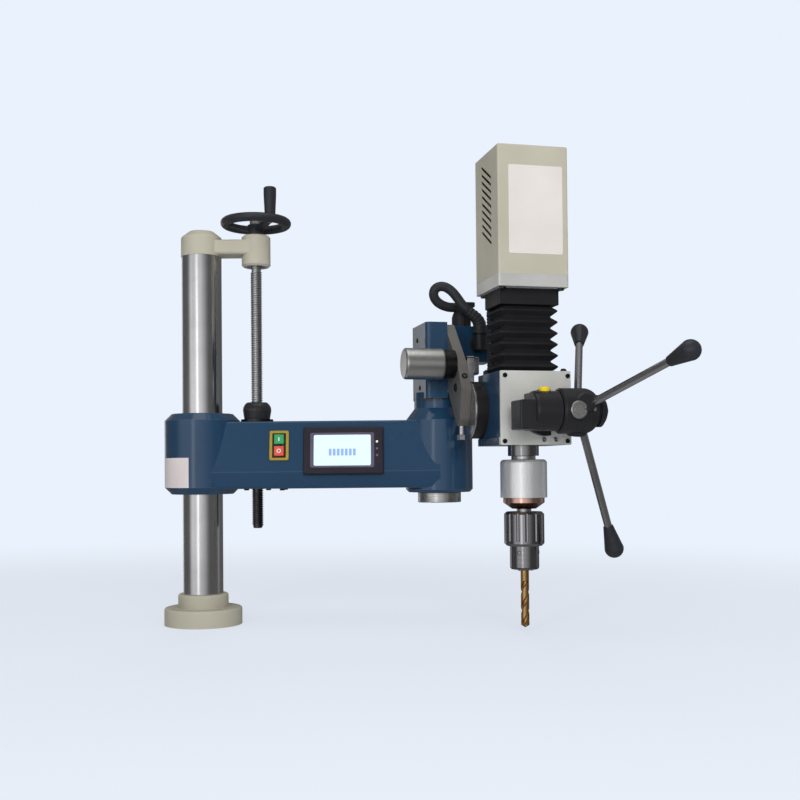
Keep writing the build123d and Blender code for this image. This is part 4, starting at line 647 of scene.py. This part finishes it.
def bridged(bm, place, loops, paint=0):  # sides, reach and height of each loop, no two at one height
    part = bmesh.new()
    closeRows(part, [addLoop(part, *loop) for loop in loops])
    put(bm, part, place, paint)


# shares of the radius, of the edge and of the height
socketShape = {"edge": 0.14, "soft": 0.4, "key": 0.5, "keyRim": 0.2, "keyTaper": 0.97, "keyFloor": 0.35}


def socketScrew(bm, place, radius, height, sink=0.4 * mm, paint=0):
    s = socketShape
    edge = s["edge"] * radius
    soft = s["soft"] * edge
    key = s["key"] * radius
    bridged(bm, place, [
        (roundSides, radius, -sink), (roundSides, radius, height - edge),
        (roundSides, radius - soft, height - soft), (roundSides, radius - edge, height),
        (hexSides, key, height - s["keyRim"] * edge),
        (hexSides, key * s["keyTaper"], height * s["keyFloor"] - sink),
    ], paint)


def hexHead(bm, place, reach, height, sink=0.4 * mm, crown=(0.85, 0.98)):
    start, top = crown  # shares of the height and of the reach
    bridged(bm, place, [(hexSides, reach, -sink), (hexSides, reach, height * start),
                        (roundSides, reach * top, height)])


def startPad(width, depth, height, corner, steps=5):  # one flat face with round corners
    part = bmesh.new()
    size = Matrix.Translation((0, 0, height)) @ Matrix.Diagonal((width, depth, 1, 1))
    bmesh.ops.create_grid(part, x_segments=1, y_segments=1, size=0.5, matrix=size)
    bmesh.ops.bevel(part, geom=part.verts[:], offset=corner, segments=steps, profile=0.5,
                    affect="VERTICES", material=-1)
    return part, part.faces[:]


def growPad(part, faces, size, newSize, lift):  # extrudes the face to another size, lift higher
    faces = bmesh.ops.extrude_discrete_faces(part, faces=faces)["faces"]
    scale = (newSize[0] / size[0], newSize[1] / size[1], 1)
    bmesh.ops.scale(part, vec=scale, verts=faces[0].verts)
    bmesh.ops.translate(part, vec=(0, 0, lift), verts=faces[0].verts)
    return faces


def plate(bm, place, width, height, thick, corner, edge=0.3 * mm, sink=0.3 * mm):
    part, faces = startPad(width, height, -sink, corner)
    faces = growPad(part, faces, (1, 1), (1, 1), thick + sink)
    bmesh.ops.bevel(part, geom=faces[0].edges[:], offset=edge, segments=1, profile=0.5,
                    affect="EDGES", material=-1)
    bmesh.ops.holes_fill(part, edges=part.edges, sides=0)
    put(bm, part, place, 0)


def addPiece(name, bm, body, slot, *kinds, sharp=35):
    bmesh.ops.recalc_face_normals(bm, faces=bm.faces)
    mesh = bpy.data.meshes.new(name)
    bm.to_mesh(mesh)
    bm.free()
    mesh.shade_smooth()
    mesh.set_sharp_from_angle(angle=math.radians(sharp))
    for kind in kinds:
        mesh.materials.append(finishes[kind])
    obj = bpy.data.objects.new(name, mesh)
    scene.collection.objects.link(obj)
    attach(obj, body)
    return obj


# lift screw with its thread

liftThread = {
    "crest": 10 * mm, "root": 8.3 * mm, "pitch": 4 * mm, "steps": 20,
    # outline of the thread over one pitch
    "flank": (("root", 0), ("root", 0.275), ("crest", 0.45), ("crest", 0.825), ("root", 1)),
    "startGap": 3 * mm, "endGap": 4 * mm, "coreGap": 0.05 * mm, "tip": 1.5 * mm,
    "collar": 3.4 * mm, "collarEdge": 0.4 * mm, "collarGap": 0.1 * mm,
    "journal": 7.5 * mm, "journalEdge": 1 * mm,
}


def makeLiftThread():
    s = liftThread
    low, high = [Vector(p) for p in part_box("lift_screw")]
    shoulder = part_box("screw_bearings")[0][2] - s["collarGap"]
    at = Vector(joints["screw_turn"]["pos_m"])
    place = Matrix.Translation((at.x, at.y, 0))
    bm = bmesh.new()
    start = low.z + s["startGap"]
    turns = int((shoulder - s["endGap"] - start) / s["pitch"]) - 1
    flank = [Vector((s[reach], 0, start + along * s["pitch"])) for reach, along in s["flank"]]
    line = [bm.verts.new(place @ point) for point in flank]
    edges = [bm.edges.new(pair) for pair in zip(line, line[1:])]
    bmesh.ops.spin(bm, geom=line + edges, cent=at, axis=(0, 0, 1), dvec=(0, 0, s["pitch"] / s["steps"]),
                   angle=math.tau * turns, steps=s["steps"] * turns, use_merge=False, use_duplicate=False)
    bmesh.ops.remove_doubles(bm, verts=bm.verts, dist=1e-6)
    bmesh.ops.holes_fill(bm, edges=bm.edges, sides=0)
    core, full, journal = s["root"] - s["coreGap"], s["crest"], s["journal"]
    under = shoulder - s["collar"]
    turned(bm, place, [
        (core - s["tip"], low.z), (core, low.z + s["tip"]), (core, under),
        (full - s["collarEdge"], under), (full, under + s["collarEdge"]), (full, shoulder),
        (journal, shoulder), (journal, high.z - s["journalEdge"]), (journal - s["journalEdge"], high.z),
    ])
    obj = addPiece("liftThread", bm, "screw", "bright_steel", "shadedThread", sharp=30)
    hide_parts("lift_screw")


makeLiftThread()

# bellows with rounded folds

bellows = {
    "folds": 6, "depth": 9.5 * mm, "corner": 6 * mm, "cornerSteps": 6,
    "shape": (  # one fold: shares of its height and of its depth
        (0.06, 0.95), (0.4, 0.12), (0.45, 0.03), (0.5, 0), (0.55, 0.03), (0.6, 0.12), (0.94, 0.95), (1, 1),
    ),
}


def makeBellows():
    s = bellows
    low, high = headBox("bellows")
    width, depth, tall = high - low
    place = headPlace @ Matrix.Translation(((low.x + high.x) / 2, (low.y + high.y) / 2, low.z))
    size, level = (width - 2 * s["depth"], depth - 2 * s["depth"]), 0
    part, faces = startPad(*size, level, s["corner"] * size[0] / width, s["cornerSteps"])
    for i in range(s["folds"]):
        for along, inset in s["shape"]:
            less = 2 * s["depth"] * inset
            newSize, newLevel = (width - less, depth - less), tall * (i + along) / s["folds"]
            faces = growPad(part, faces, size, newSize, newLevel - level)
            size, level = newSize, newLevel
    bmesh.ops.holes_fill(part, edges=part.edges, sides=0)
    bm = bmesh.new()
    put(bm, part, place, 0)
    obj = addPiece("bellowsFolds", bm, "head", "black_rubber", "bellowsCloth", sharp=60)
    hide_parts("bellows")
    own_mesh(obj)


makeBellows()

# hose from the turret's top round one loop to the elbow on the shelf

hose = {
    "radius": 8.5 * mm,
    "length": 0.2217,
    "route": [  # in the head's axes
        (0.0500, 0.020, 0.5360), (0.0495, 0.020, 0.5481), (0.0420, 0.019, 0.5605),
        (0.0237, 0.018, 0.5598), (0.0045, 0.016, 0.5671), (-0.0049, 0.013, 0.5802),
        (-0.0018, 0.009, 0.5927), (0.0110, 0.005, 0.5965), (0.0246, 0.001, 0.5891),
        (0.0348, -0.003, 0.5757), (0.0432, -0.007, 0.5612), (0.0557, -0.011, 0.5480),
        (0.0700, -0.015, 0.5350), (0.0738, -0.017, 0.5210), (0.0730, -0.017, 0.5060),
    ],
    "steps": 10,
    "nut": ((16.5, 0), (16.5, 20), (16, 22), (14, 27), (9.4, 30)),  # radius, height over the turret's top
    "ribs": 16, "ribLess": 2, "rib": sizes(width=2.4, thick=0.7, corner=0.5, edge=0.25),
    "bootLong": 52 * mm, "bootEnd": 13.2 * mm, "bootTip": 9.2 * mm, "bootSides": 28,
    "groove": 0.9 * mm, "grooveEvery": 4,
    "clipAt": (54.5, -7, 561.5), "clip": sizes(width=23, height=9, thick=10, corner=2, edge=1, sink=0),
}


def makeHose():
    curve = bpy.data.curves.new("hoseTube", "CURVE")
    curve.dimensions = "3D"
    curve.bevel_depth = hose["radius"]
    curve.bevel_resolution = hose["steps"]
    curve.use_fill_caps = True
    line = curve.splines.new("NURBS")
    line.points.add(len(hose["route"]) - 1)
    for point, place in zip(line.points, hose["route"]):
        point.co = (*(headPlace @ Vector(place)), 1)
    line.order_u = 3
    line.use_endpoint_u = True
    line.resolution_u = hose["steps"]
    curve.materials.append(finishes["hoseRubber"])
    obj = bpy.data.objects.new("hoseTube", curve)
    scene.collection.objects.link(obj)
    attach(obj, "turret")
    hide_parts("hose")
    fittings = [nodes["hose_glands"], makeGlandNut(), makeHoseBoot(curve), makeHoseClip()]


def makeGlandNut():  # cap of the gland on the turret, with grip ribs
    s = hose
    x, y = s["route"][0][:2]
    place = headPlace @ Matrix.Translation((x, y, headBox("turret_block")[1].z))
    bm = bmesh.new()
    turned(bm, place, scaled(mm, s["nut"]))
    reach, ribTop = s["nut"][1]
    for i in range(s["ribs"]):
        turn = Matrix.Rotation(math.tau * i / s["ribs"], 4, "Z")
        rib = place @ turn @ pointing((reach * mm, 0, ribTop / 2 * mm), (1, 0, 0))
        plate(bm, rib, height=(ribTop - s["ribLess"]) * mm, **s["rib"])
    return addPiece("glandNut", bm, "turret", "black_plastic", "blackPlastic")


def hosePoints(curve):  # points along the middle of the hose, from its far end
    plain = curve.copy()
    plain.bevel_depth = 0
    line = bpy.data.objects.new("hoseLine", plain)
    mesh = bpy.data.meshes.new_from_object(line)
    points = [v.co.copy() for v in mesh.vertices][::-1]
    bpy.data.objects.remove(line)
    bpy.data.meshes.remove(mesh)
    bpy.data.curves.remove(plain)
    return points


def makeHoseBoot(curve):  # ribbed strain relief over the last stretch
    s = hose
    points = hosePoints(curve)
    part = bmesh.new()
    rows, along = [], 0
    for i in range(1, len(points) - 1):
        if along > s["bootLong"]:
            break
        share = along / s["bootLong"]
        reach = s["bootEnd"] + (s["bootTip"] - s["bootEnd"]) * share
        reach -= s["groove"] if i % s["grooveEvery"] == 0 else 0
        old = set(part.edges)
        place = pointing(points[i], points[i + 1] - points[i - 1], (0, 1, 0))
        bmesh.ops.create_circle(part, segments=s["bootSides"], radius=reach, matrix=place)
        rows.append([e for e in part.edges if e not in old])
        along += (points[i + 1] - points[i]).length
    closeRows(part, rows)
    bm = bmesh.new()
    put(bm, part, Matrix.Identity(4), 0)
    return addPiece("hoseBoot", bm, "turret", "black_rubber", "hoseRubber", sharp=50)


def makeHoseClip():  # saddle that ties the strand to the gland
    s = hose
    bm = bmesh.new()
    place = inHead(s["clipAt"], (0, -1, 0)) @ Matrix.Translation((0, 0, -s["clip"]["thick"] / 2))
    plate(bm, place, **s["clip"])
    return addPiece("hoseClip", bm, "turret", "black_plastic", "blackPlastic")


makeHose()
print("lift thread, bellows and hose made")


# screws and small fittings of the head

frontScrews = {
    "corners": ((50.6, 418.5), (157.5, 418.1), (49.4, 313.2), (156.1, 312.9)),
    "radius": 3.6 * mm, "tall": 2.6 * mm,
    "pair": (115.7, 135.9), "pairLevel": 315.5, "pairRadius": 4.2 * mm,
    "ring": ((1, -0.3), (1, 0.8), (0.9, 1.0), (0.66, 1.0), (0.62, 0.3)), "inRing": 0.55, "inTall": 0.9 * mm,
}


def makeFrontScrews():
    s = frontScrews
    face = headBox("front_plate")[0].y / mm
    bm = bmesh.new()
    for x, z in s["corners"]:
        socketScrew(bm, inHead((x, face, z), (0, -1, 0)), s["radius"], s["tall"])
    for x in s["pair"]:
        place = inHead((x, face, s["pairLevel"]), (0, -1, 0))
        turned(bm, place, scaled(s["pairRadius"], s["ring"]), roundSides, 1)
        socketScrew(bm, place, s["pairRadius"] * s["inRing"], s["inTall"])
    addPiece("frontScrews", bm, "head", "dark_steel", "darkSteel", "brightSteel")


breather = {"at": (153, -203), "radius": 5.5 * mm,
            "shape": ((1, -0.4), (1, 1.2), (0.86, 1.6), (0.8, 3.2), (0.6, 4.2), (0.25, 4.6))}


def makeBreather():
    s = breather
    top = headBox("head_body")[1].z / mm
    bm = bmesh.new()
    turned(bm, inHead((*s["at"], top), (0, 0, 1)), scaled(s["radius"], s["shape"]), roundSides)
    addPiece("headBreather", bm, "head", "black_plastic", "blackPlastic")


hubPin = {"x": 168.5, "z": 360, "out": 33, "radius": 4.2 * mm,  # out: in front of the capstan's axis
          "shape": ((1, -4), (1, 1.4), (0.85, 2.2), (0.4, 2.6))}


def makeHubPin():
    s = hubPin
    axis = (headBack @ Vector(joints["capstan_turn"]["pos_m"])) / mm
    bm = bmesh.new()
    place = inHead((s["x"], axis.y - s["out"], s["z"]), (0, -1, 0))
    turned(bm, place, scaled(s["radius"], s["shape"]), roundSides)
    addPiece("hubPin", bm, "capstan", "chrome", "chrome")


makeFrontScrews()
makeBreather()
makeHubPin()

# screws of the turret and cheek, and the dial's degree marks

turretScrews = {
    "cheekSpot": (-96.6, 406.7), "cheekRadius": 7 * mm, "cheekTall": 2 * mm,
    "sideSpots": ((-35, 410), (-21, 494)), "sideRadius": 4.2 * mm, "sideTall": 1.6 * mm,
    "edgeSpot": (11.5, -119, 424.5), "edgeWay": (0, -0.89, 0.455),
    "edgeRadius": 5 * mm, "edgeTall": 1.8 * mm, "edgeSink": 1 * mm,
}


def makeTurretScrews():
    s = turretScrews
    cheek = headBox("cheek_plate")[0].x / mm
    block = headBox("turret_block")[0].x / mm
    bm = bmesh.new()
    socketScrew(bm, inHead((cheek, *s["cheekSpot"]), (-1, 0, 0)), s["cheekRadius"], s["cheekTall"])
    for spot in s["sideSpots"]:
        socketScrew(bm, inHead((block, *spot), (-1, 0, 0)), s["sideRadius"], s["sideTall"])
    socketScrew(bm, inHead(s["edgeSpot"], s["edgeWay"]), s["edgeRadius"], s["edgeTall"], s["edgeSink"])
    addPiece("turretScrews", bm, "turret", "dark_steel", "darkSteel")


toeBolt = {
    "at": (10, -103, 318), "reach": 6.5 * mm,
    "head": ((0.97, 0), (1, 1), (1, 8)),  # share of the reach, height
    "shank": ((0.97, 9), (0.62, 9.1), (0.62, 26)),
}


def makeToeBolt():
    s = toeBolt
    bm = bmesh.new()
    loops = [(hexSides, *loop) for loop in scaled(s["reach"], s["head"])]
    loops += [(roundSides, *loop) for loop in scaled(s["reach"], s["shank"])]
    bridged(bm, inHead(s["at"], (0, 0, 1)), loops)
    addPiece("toeBolt", bm, "turret", "bright_steel", "brightSteel")


dialMarks = {
    "step": 5, "from": -40, "to": 220, "longStep": 10,  # degrees
    "short": 3.2 * mm, "long": 5.5 * mm, "inset": 0.6 * mm,
    "mark": sizes(height=0.5, thick=0.08, corner=0.1, edge=0.02, sink=0.1),
}


def makeDialMarks():
    s = dialMarks
    low, high = headBox("tilt_dial")
    axis = headBack @ Vector(joints["head_tilt"]["pos_m"])
    rim = (high.y - low.y) / 2
    bm = bmesh.new()
    for degrees in range(s["from"], s["to"] + 1, s["step"]):
        tall = s["long"] if degrees % s["longStep"] == 0 else s["short"]
        turn = math.radians(degrees)
        away = Vector((0, -math.cos(turn), math.sin(turn)))
        at = Vector((low.x, axis.y, axis.z)) + away * (rim - s["inset"] - tall / 2)
        place = headPlace @ pointing(at, (-1, 0, 0), away)
        plate(bm, place @ Matrix.Rotation(math.pi / 2, 4, "Z"), tall, **s["mark"])
    addPiece("dialMarks", bm, "turret", "black_paint", "blackPaint")


# bright pad beside the index lug, and the ribbed cable sleeve behind the bellows

lugPad = {"at": (-86, 444), "pad": sizes(width=24, height=30, thick=9, corner=3, edge=1.2),
          "screwRadius": 4 * mm, "screwTall": 2 * mm}


def makeLugPad():
    s = lugPad
    side = headBox("index_lug")[1].x / mm
    bm = bmesh.new()
    place = inHead((side, *s["at"]), (1, 0, 0))
    plate(bm, place, **s["pad"])
    screwAt = place @ Matrix.Translation((0, 0, s["pad"]["thick"]))
    socketScrew(bm, screwAt, s["screwRadius"], s["screwTall"], paint=1)
    addPiece("lugPad", bm, "head", "bright_steel", "brightSteel", "darkSteel")


cableSleeve = {
    "at": (65.4, -103), "radius": 8.4 * mm, "groove": 1.3 * mm, "ribs": 26, "sides": 32,
    "rib": ((0, 1), (0.2, 0.25), (0.35, 0), (0.65, 0), (0.8, 0.25)),  # shares of height and groove
    "foot": sizes(width=18, height=27, thick=9, corner=2, edge=0.8),
    "screwInset": 2.6 * mm, "screwRadius": 1.9 * mm, "screwTall": 1.2 * mm,
}


def makeCableSleeve():
    s = cableSleeve
    low = headBox("head_body")[1].z
    tall = headBox("motor_base")[0].z - low
    place = inHead((*s["at"], low / mm), (0, 0, 1))
    bm = bmesh.new()
    plate(bm, place, **s["foot"])
    for side in (-1, 1):
        out = side * (s["foot"]["height"] / 2 - s["screwInset"])
        screwAt = place @ Matrix.Translation((0, out, s["foot"]["thick"]))
        socketScrew(bm, screwAt, s["screwRadius"], s["screwTall"], paint=1)
    addPiece("sleeveFoot", bm, "head", "black_paint", "blackPaint", "darkSteel")
    profile = []
    for i in range(s["ribs"]):
        for along, less in s["rib"]:
            profile.append((s["radius"] - s["groove"] * less, tall * (i + along) / s["ribs"]))
    profile.append((s["radius"] - s["groove"], tall))
    bm = bmesh.new()
    turned(bm, place, profile, s["sides"])
    obj = addPiece("cableSleeve", bm, "head", "black_rubber", "hoseRubber", sharp=60)
    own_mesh(obj)


makeTurretScrews()
makeToeBolt()
makeDialMarks()
makeLugPad()
makeCableSleeve()
print("head and turret fittings made")

# bare plates: the motor's front and the column clamp

motorPlate = {"left": 60.3, "right": 152.3, "low": 614.5, "high": 757.5,
              "thick": 0.6 * mm, "corner": 3 * mm}


def makeMotorPlate():
    s = motorPlate
    face = headBox("motor_cover")[0].y / mm
    place = inHead(((s["left"] + s["right"]) / 2, face, (s["low"] + s["high"]) / 2), (0, -1, 0))
    bm = bmesh.new()
    plate(bm, place, (s["right"] - s["left"]) * mm, (s["high"] - s["low"]) * mm, s["thick"], s["corner"])
    addPiece("motorPlate", bm, "spindle_unit", "cream_paint", "palePlate")


clampPlate = {
    "from": -66, "to": -11.5, "steps": 28,  # degrees round the column
    "low": 240.8, "high": 292.5, "thick": 0.7 * mm, "sink": 0.4 * mm,
    "edge": 0.25 * mm, "edgeBend": 1.2,  # edges that bend more than this are rounded
}


def makeClampPlate():
    s = clampPlate
    reach = -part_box("arm_casting")[0][0]  # the clamp is round about the column
    inner = reach - s["sink"]
    outer = reach + s["thick"]
    turn = math.radians(s["from"])
    out = Vector((math.sin(turn), -math.cos(turn), 0))
    bm = bmesh.new()
    corners = ((inner, s["low"]), (outer, s["low"]), (outer, s["high"]), (inner, s["high"]))
    ring = [bm.verts.new(out * r + Vector((0, 0, z * mm))) for r, z in corners]
    edges = [bm.edges.new(pair) for pair in zip(ring, ring[1:] + ring[:1])]
    bmesh.ops.spin(bm, geom=ring + edges, cent=(0, 0, 0), axis=(0, 0, 1),
                   angle=math.radians(s["to"] - s["from"]), steps=s["steps"])
    bmesh.ops.holes_fill(bm, edges=bm.edges, sides=4)
    sharp = [e for e in bm.edges if e.calc_face_angle(0) > s["edgeBend"]]
    bmesh.ops.bevel(bm, geom=sharp, offset=s["edge"], segments=2, profile=0.5, affect="EDGES", material=-1)
    addPiece("clampPlate", bm, "arm", "stainless", "pinkPlate")


makeMotorPlate()
makeClampPlate()

# screen frame, lamps and bars, and the marks on the buttons

outOf = -Vector(joints["start_press"]["axis"])  # straight out of the arm's leaning face
facePlace = pointing((0, 0, 0), outOf)


def onFace(node, out, shift=(0, 0)):  # a place on the leaning face at a node's middle
    low, high = [Vector(p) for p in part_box(node)]
    middle = (low + high) / 2
    place = facePlace.copy()
    place.translation = middle + outOf * (out - outOf.dot(middle))
    return place @ Matrix.Translation((shift[0] * mm, shift[1] * mm, 0))


screen = {
    "outer": (110 * mm, 61 * mm), "inner": (97.5 * mm, 53.5 * mm), "corner": 3 * mm, "sink": 0.3 * mm,
    "rim": 0.5 * mm, "crown": 1 * mm, "crownLess": 2 * mm, "lip": 0.9 * mm, "lipMore": 3 * mm,
    "glassSink": 0.2 * mm,
    "lamps": ((57.7, 12.5), (57.7, 0), (57.7, -11.5)), "lampRadius": 1.5 * mm, "lampSides": 20,
    "lamp": ((1.3, -0.3), (1.3, 0.3), (1, 0.35), (0.85, 0.9), (0.45, 1.2)),
    "bars": 7, "barStep": 6.9, "barShift": (-2, -5.6),
    "bar": sizes(width=4.6, height=12, thick=0.12, corner=0.5, edge=0.03, sink=0.1),
}


def makeScreen():
    s = screen
    bezel = reachOf("screen_housing", outOf)
    glassTop = reachOf("screen_display", outOf)
    width, height = s["outer"]
    crown = (width - s["crownLess"], height - s["crownLess"])
    lip = (s["inner"][0] + s["lipMore"], s["inner"][1] + s["lipMore"])
    size, level = s["outer"], -s["sink"]
    part, faces = startPad(*size, level, s["corner"])
    for newSize, newLevel in ((size, s["rim"]), (crown, s["crown"]), (lip, s["lip"]),
                              (s["inner"], glassTop - bezel - s["glassSink"])):
        faces = growPad(part, faces, size, newSize, newLevel - level)
        size, level = newSize, newLevel
    bmesh.ops.delete(part, geom=faces, context="FACES_ONLY")
    bmesh.ops.bridge_loops(part, edges=[e for e in part.edges if e.is_boundary])
    bm = bmesh.new()
    put(bm, part, onFace("screen_display", bezel), 0)
    addPiece("screenFrame", bm, "arm", "screen_plastic", "framePlastic")
    bm = bmesh.new()
    for i, spot in enumerate(s["lamps"]):  # the top one is lit
        place = onFace("screen_housing", bezel, spot)
        turned(bm, place, scaled(s["lampRadius"], s["lamp"]), s["lampSides"], 0 if i == 0 else 1)
    addPiece("screenLamps", bm, "arm", "screen_plastic", "lampLit", "lampDark")
    bm = bmesh.new()
    x, y = s["barShift"]
    for i in range(s["bars"]):
        along = x + (i - (s["bars"] - 1) / 2) * s["barStep"]
        plate(bm, onFace("screen_housing", glassTop, (along, y)), **s["bar"])
    addPiece("screenBars", bm, "arm", "screen_glass", "barBlue")


buttonMarks = {
    "start": sizes(width=1.6, height=7, thick=0.15, corner=0.4, edge=0.03, sink=0.2),
    "stop": ((3.6, -0.2), (3.6, 0.15), (2.3, 0.15), (2.3, -0.2)),  # ring: radius and height
}


def makeButtonMarks():
    s = buttonMarks
    bm = bmesh.new()
    plate(bm, onFace("start_button", reachOf("start_button", outOf)), **s["start"])
    addPiece("startMark", bm, "start", "green_plastic", "markWhite")
    bm = bmesh.new()
    place = onFace("stop_button", reachOf("stop_button", outOf))
    turned(bm, place, scaled(mm, s["stop"]), roundSides, hollow=True)
    addPiece("stopMark", bm, "stop", "red_plastic", "markWhite")


makeScreen()
makeButtonMarks()
print("plates, screen and marks made")

# bolts of the base, of the arm's underside and under the motor base

baseBolts = {"circle": 56 * mm, "count": 4, "turn": 45, "seat": 19 * mm,
             "radius": 7.6 * mm, "tall": 9.5 * mm}


def makeBaseBolts():
    s = baseBolts
    bm = bmesh.new()
    for i in range(s["count"]):
        turn = math.radians(s["turn"] + 360 / s["count"] * i)
        at = (s["circle"] * math.cos(turn), s["circle"] * math.sin(turn), s["seat"])
        socketScrew(bm, pointing(at, (0, 0, 1)), s["radius"], s["tall"])
    addPiece("baseBolts", bm, "stand", "dark_steel", "darkSteel")


underScrews = {"spots": ((0.0775, 0), (0.1165, 0), (0.1437, -0.03), (0.1437, 0.03)),
               "reach": 4.2 * mm, "tall": 3.4 * mm}


def makeUnderScrews():
    s = underScrews
    bm = bmesh.new()
    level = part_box("arm_bottom_cover")[0][2]
    for x, y in s["spots"]:
        hexHead(bm, pointing((x, y, level), (0, 0, -1), (0, 1, 0)), s["reach"], s["tall"])
    addPiece("underScrews", bm, "arm", "dark_steel", "darkSteel")


motorBolts = {"inset": 10, "reach": 4.6 * mm, "tall": 4 * mm}


def makeMotorBolts():
    s = motorBolts
    low, high = [corner / mm for corner in headBox("motor_base")]
    bm = bmesh.new()
    for x in (low.x + s["inset"], high.x - s["inset"]):
        for y in (low.y + s["inset"], high.y - s["inset"]):
            hexHead(bm, inHead((x, y, low.z), (0, 0, -1), (0, 1, 0)), s["reach"], s["tall"])
    addPiece("motorBolts", bm, "spindle_unit", "dark_steel", "darkSteel")


# key holes round the drill chuck's nose: shallow cups coloured black, a painted shade for the deep holes

keyHoles = {"level": 131, "out": 24, "count": 3, "turn": 229, "radius": 3.6 * mm,
            "shape": ((1, -1.5), (1, 0.2), (0.9, 0.35), (0.8, 0.2), (0.78, -1.2))}


def makeKeyHoles():
    s = keyHoles
    axis = (headBack @ Vector(joints["spindle_spin"]["pos_m"])) / mm
    bm = bmesh.new()
    for i in range(s["count"]):
        turn = math.radians(s["turn"] + 360 / s["count"] * i)
        way = Vector((math.cos(turn), math.sin(turn), 0))
        place = inHead(Vector((axis.x, axis.y, s["level"])) + way * s["out"], way)
        turned(bm, place, scaled(s["radius"], s["shape"]), roundSides)
    addPiece("keyHoles", bm, "spindle", "dark_steel", "blackPaint")


makeBaseBolts()
makeUnderScrews()
makeMotorBolts()
makeKeyHoles()
print("bolts made")
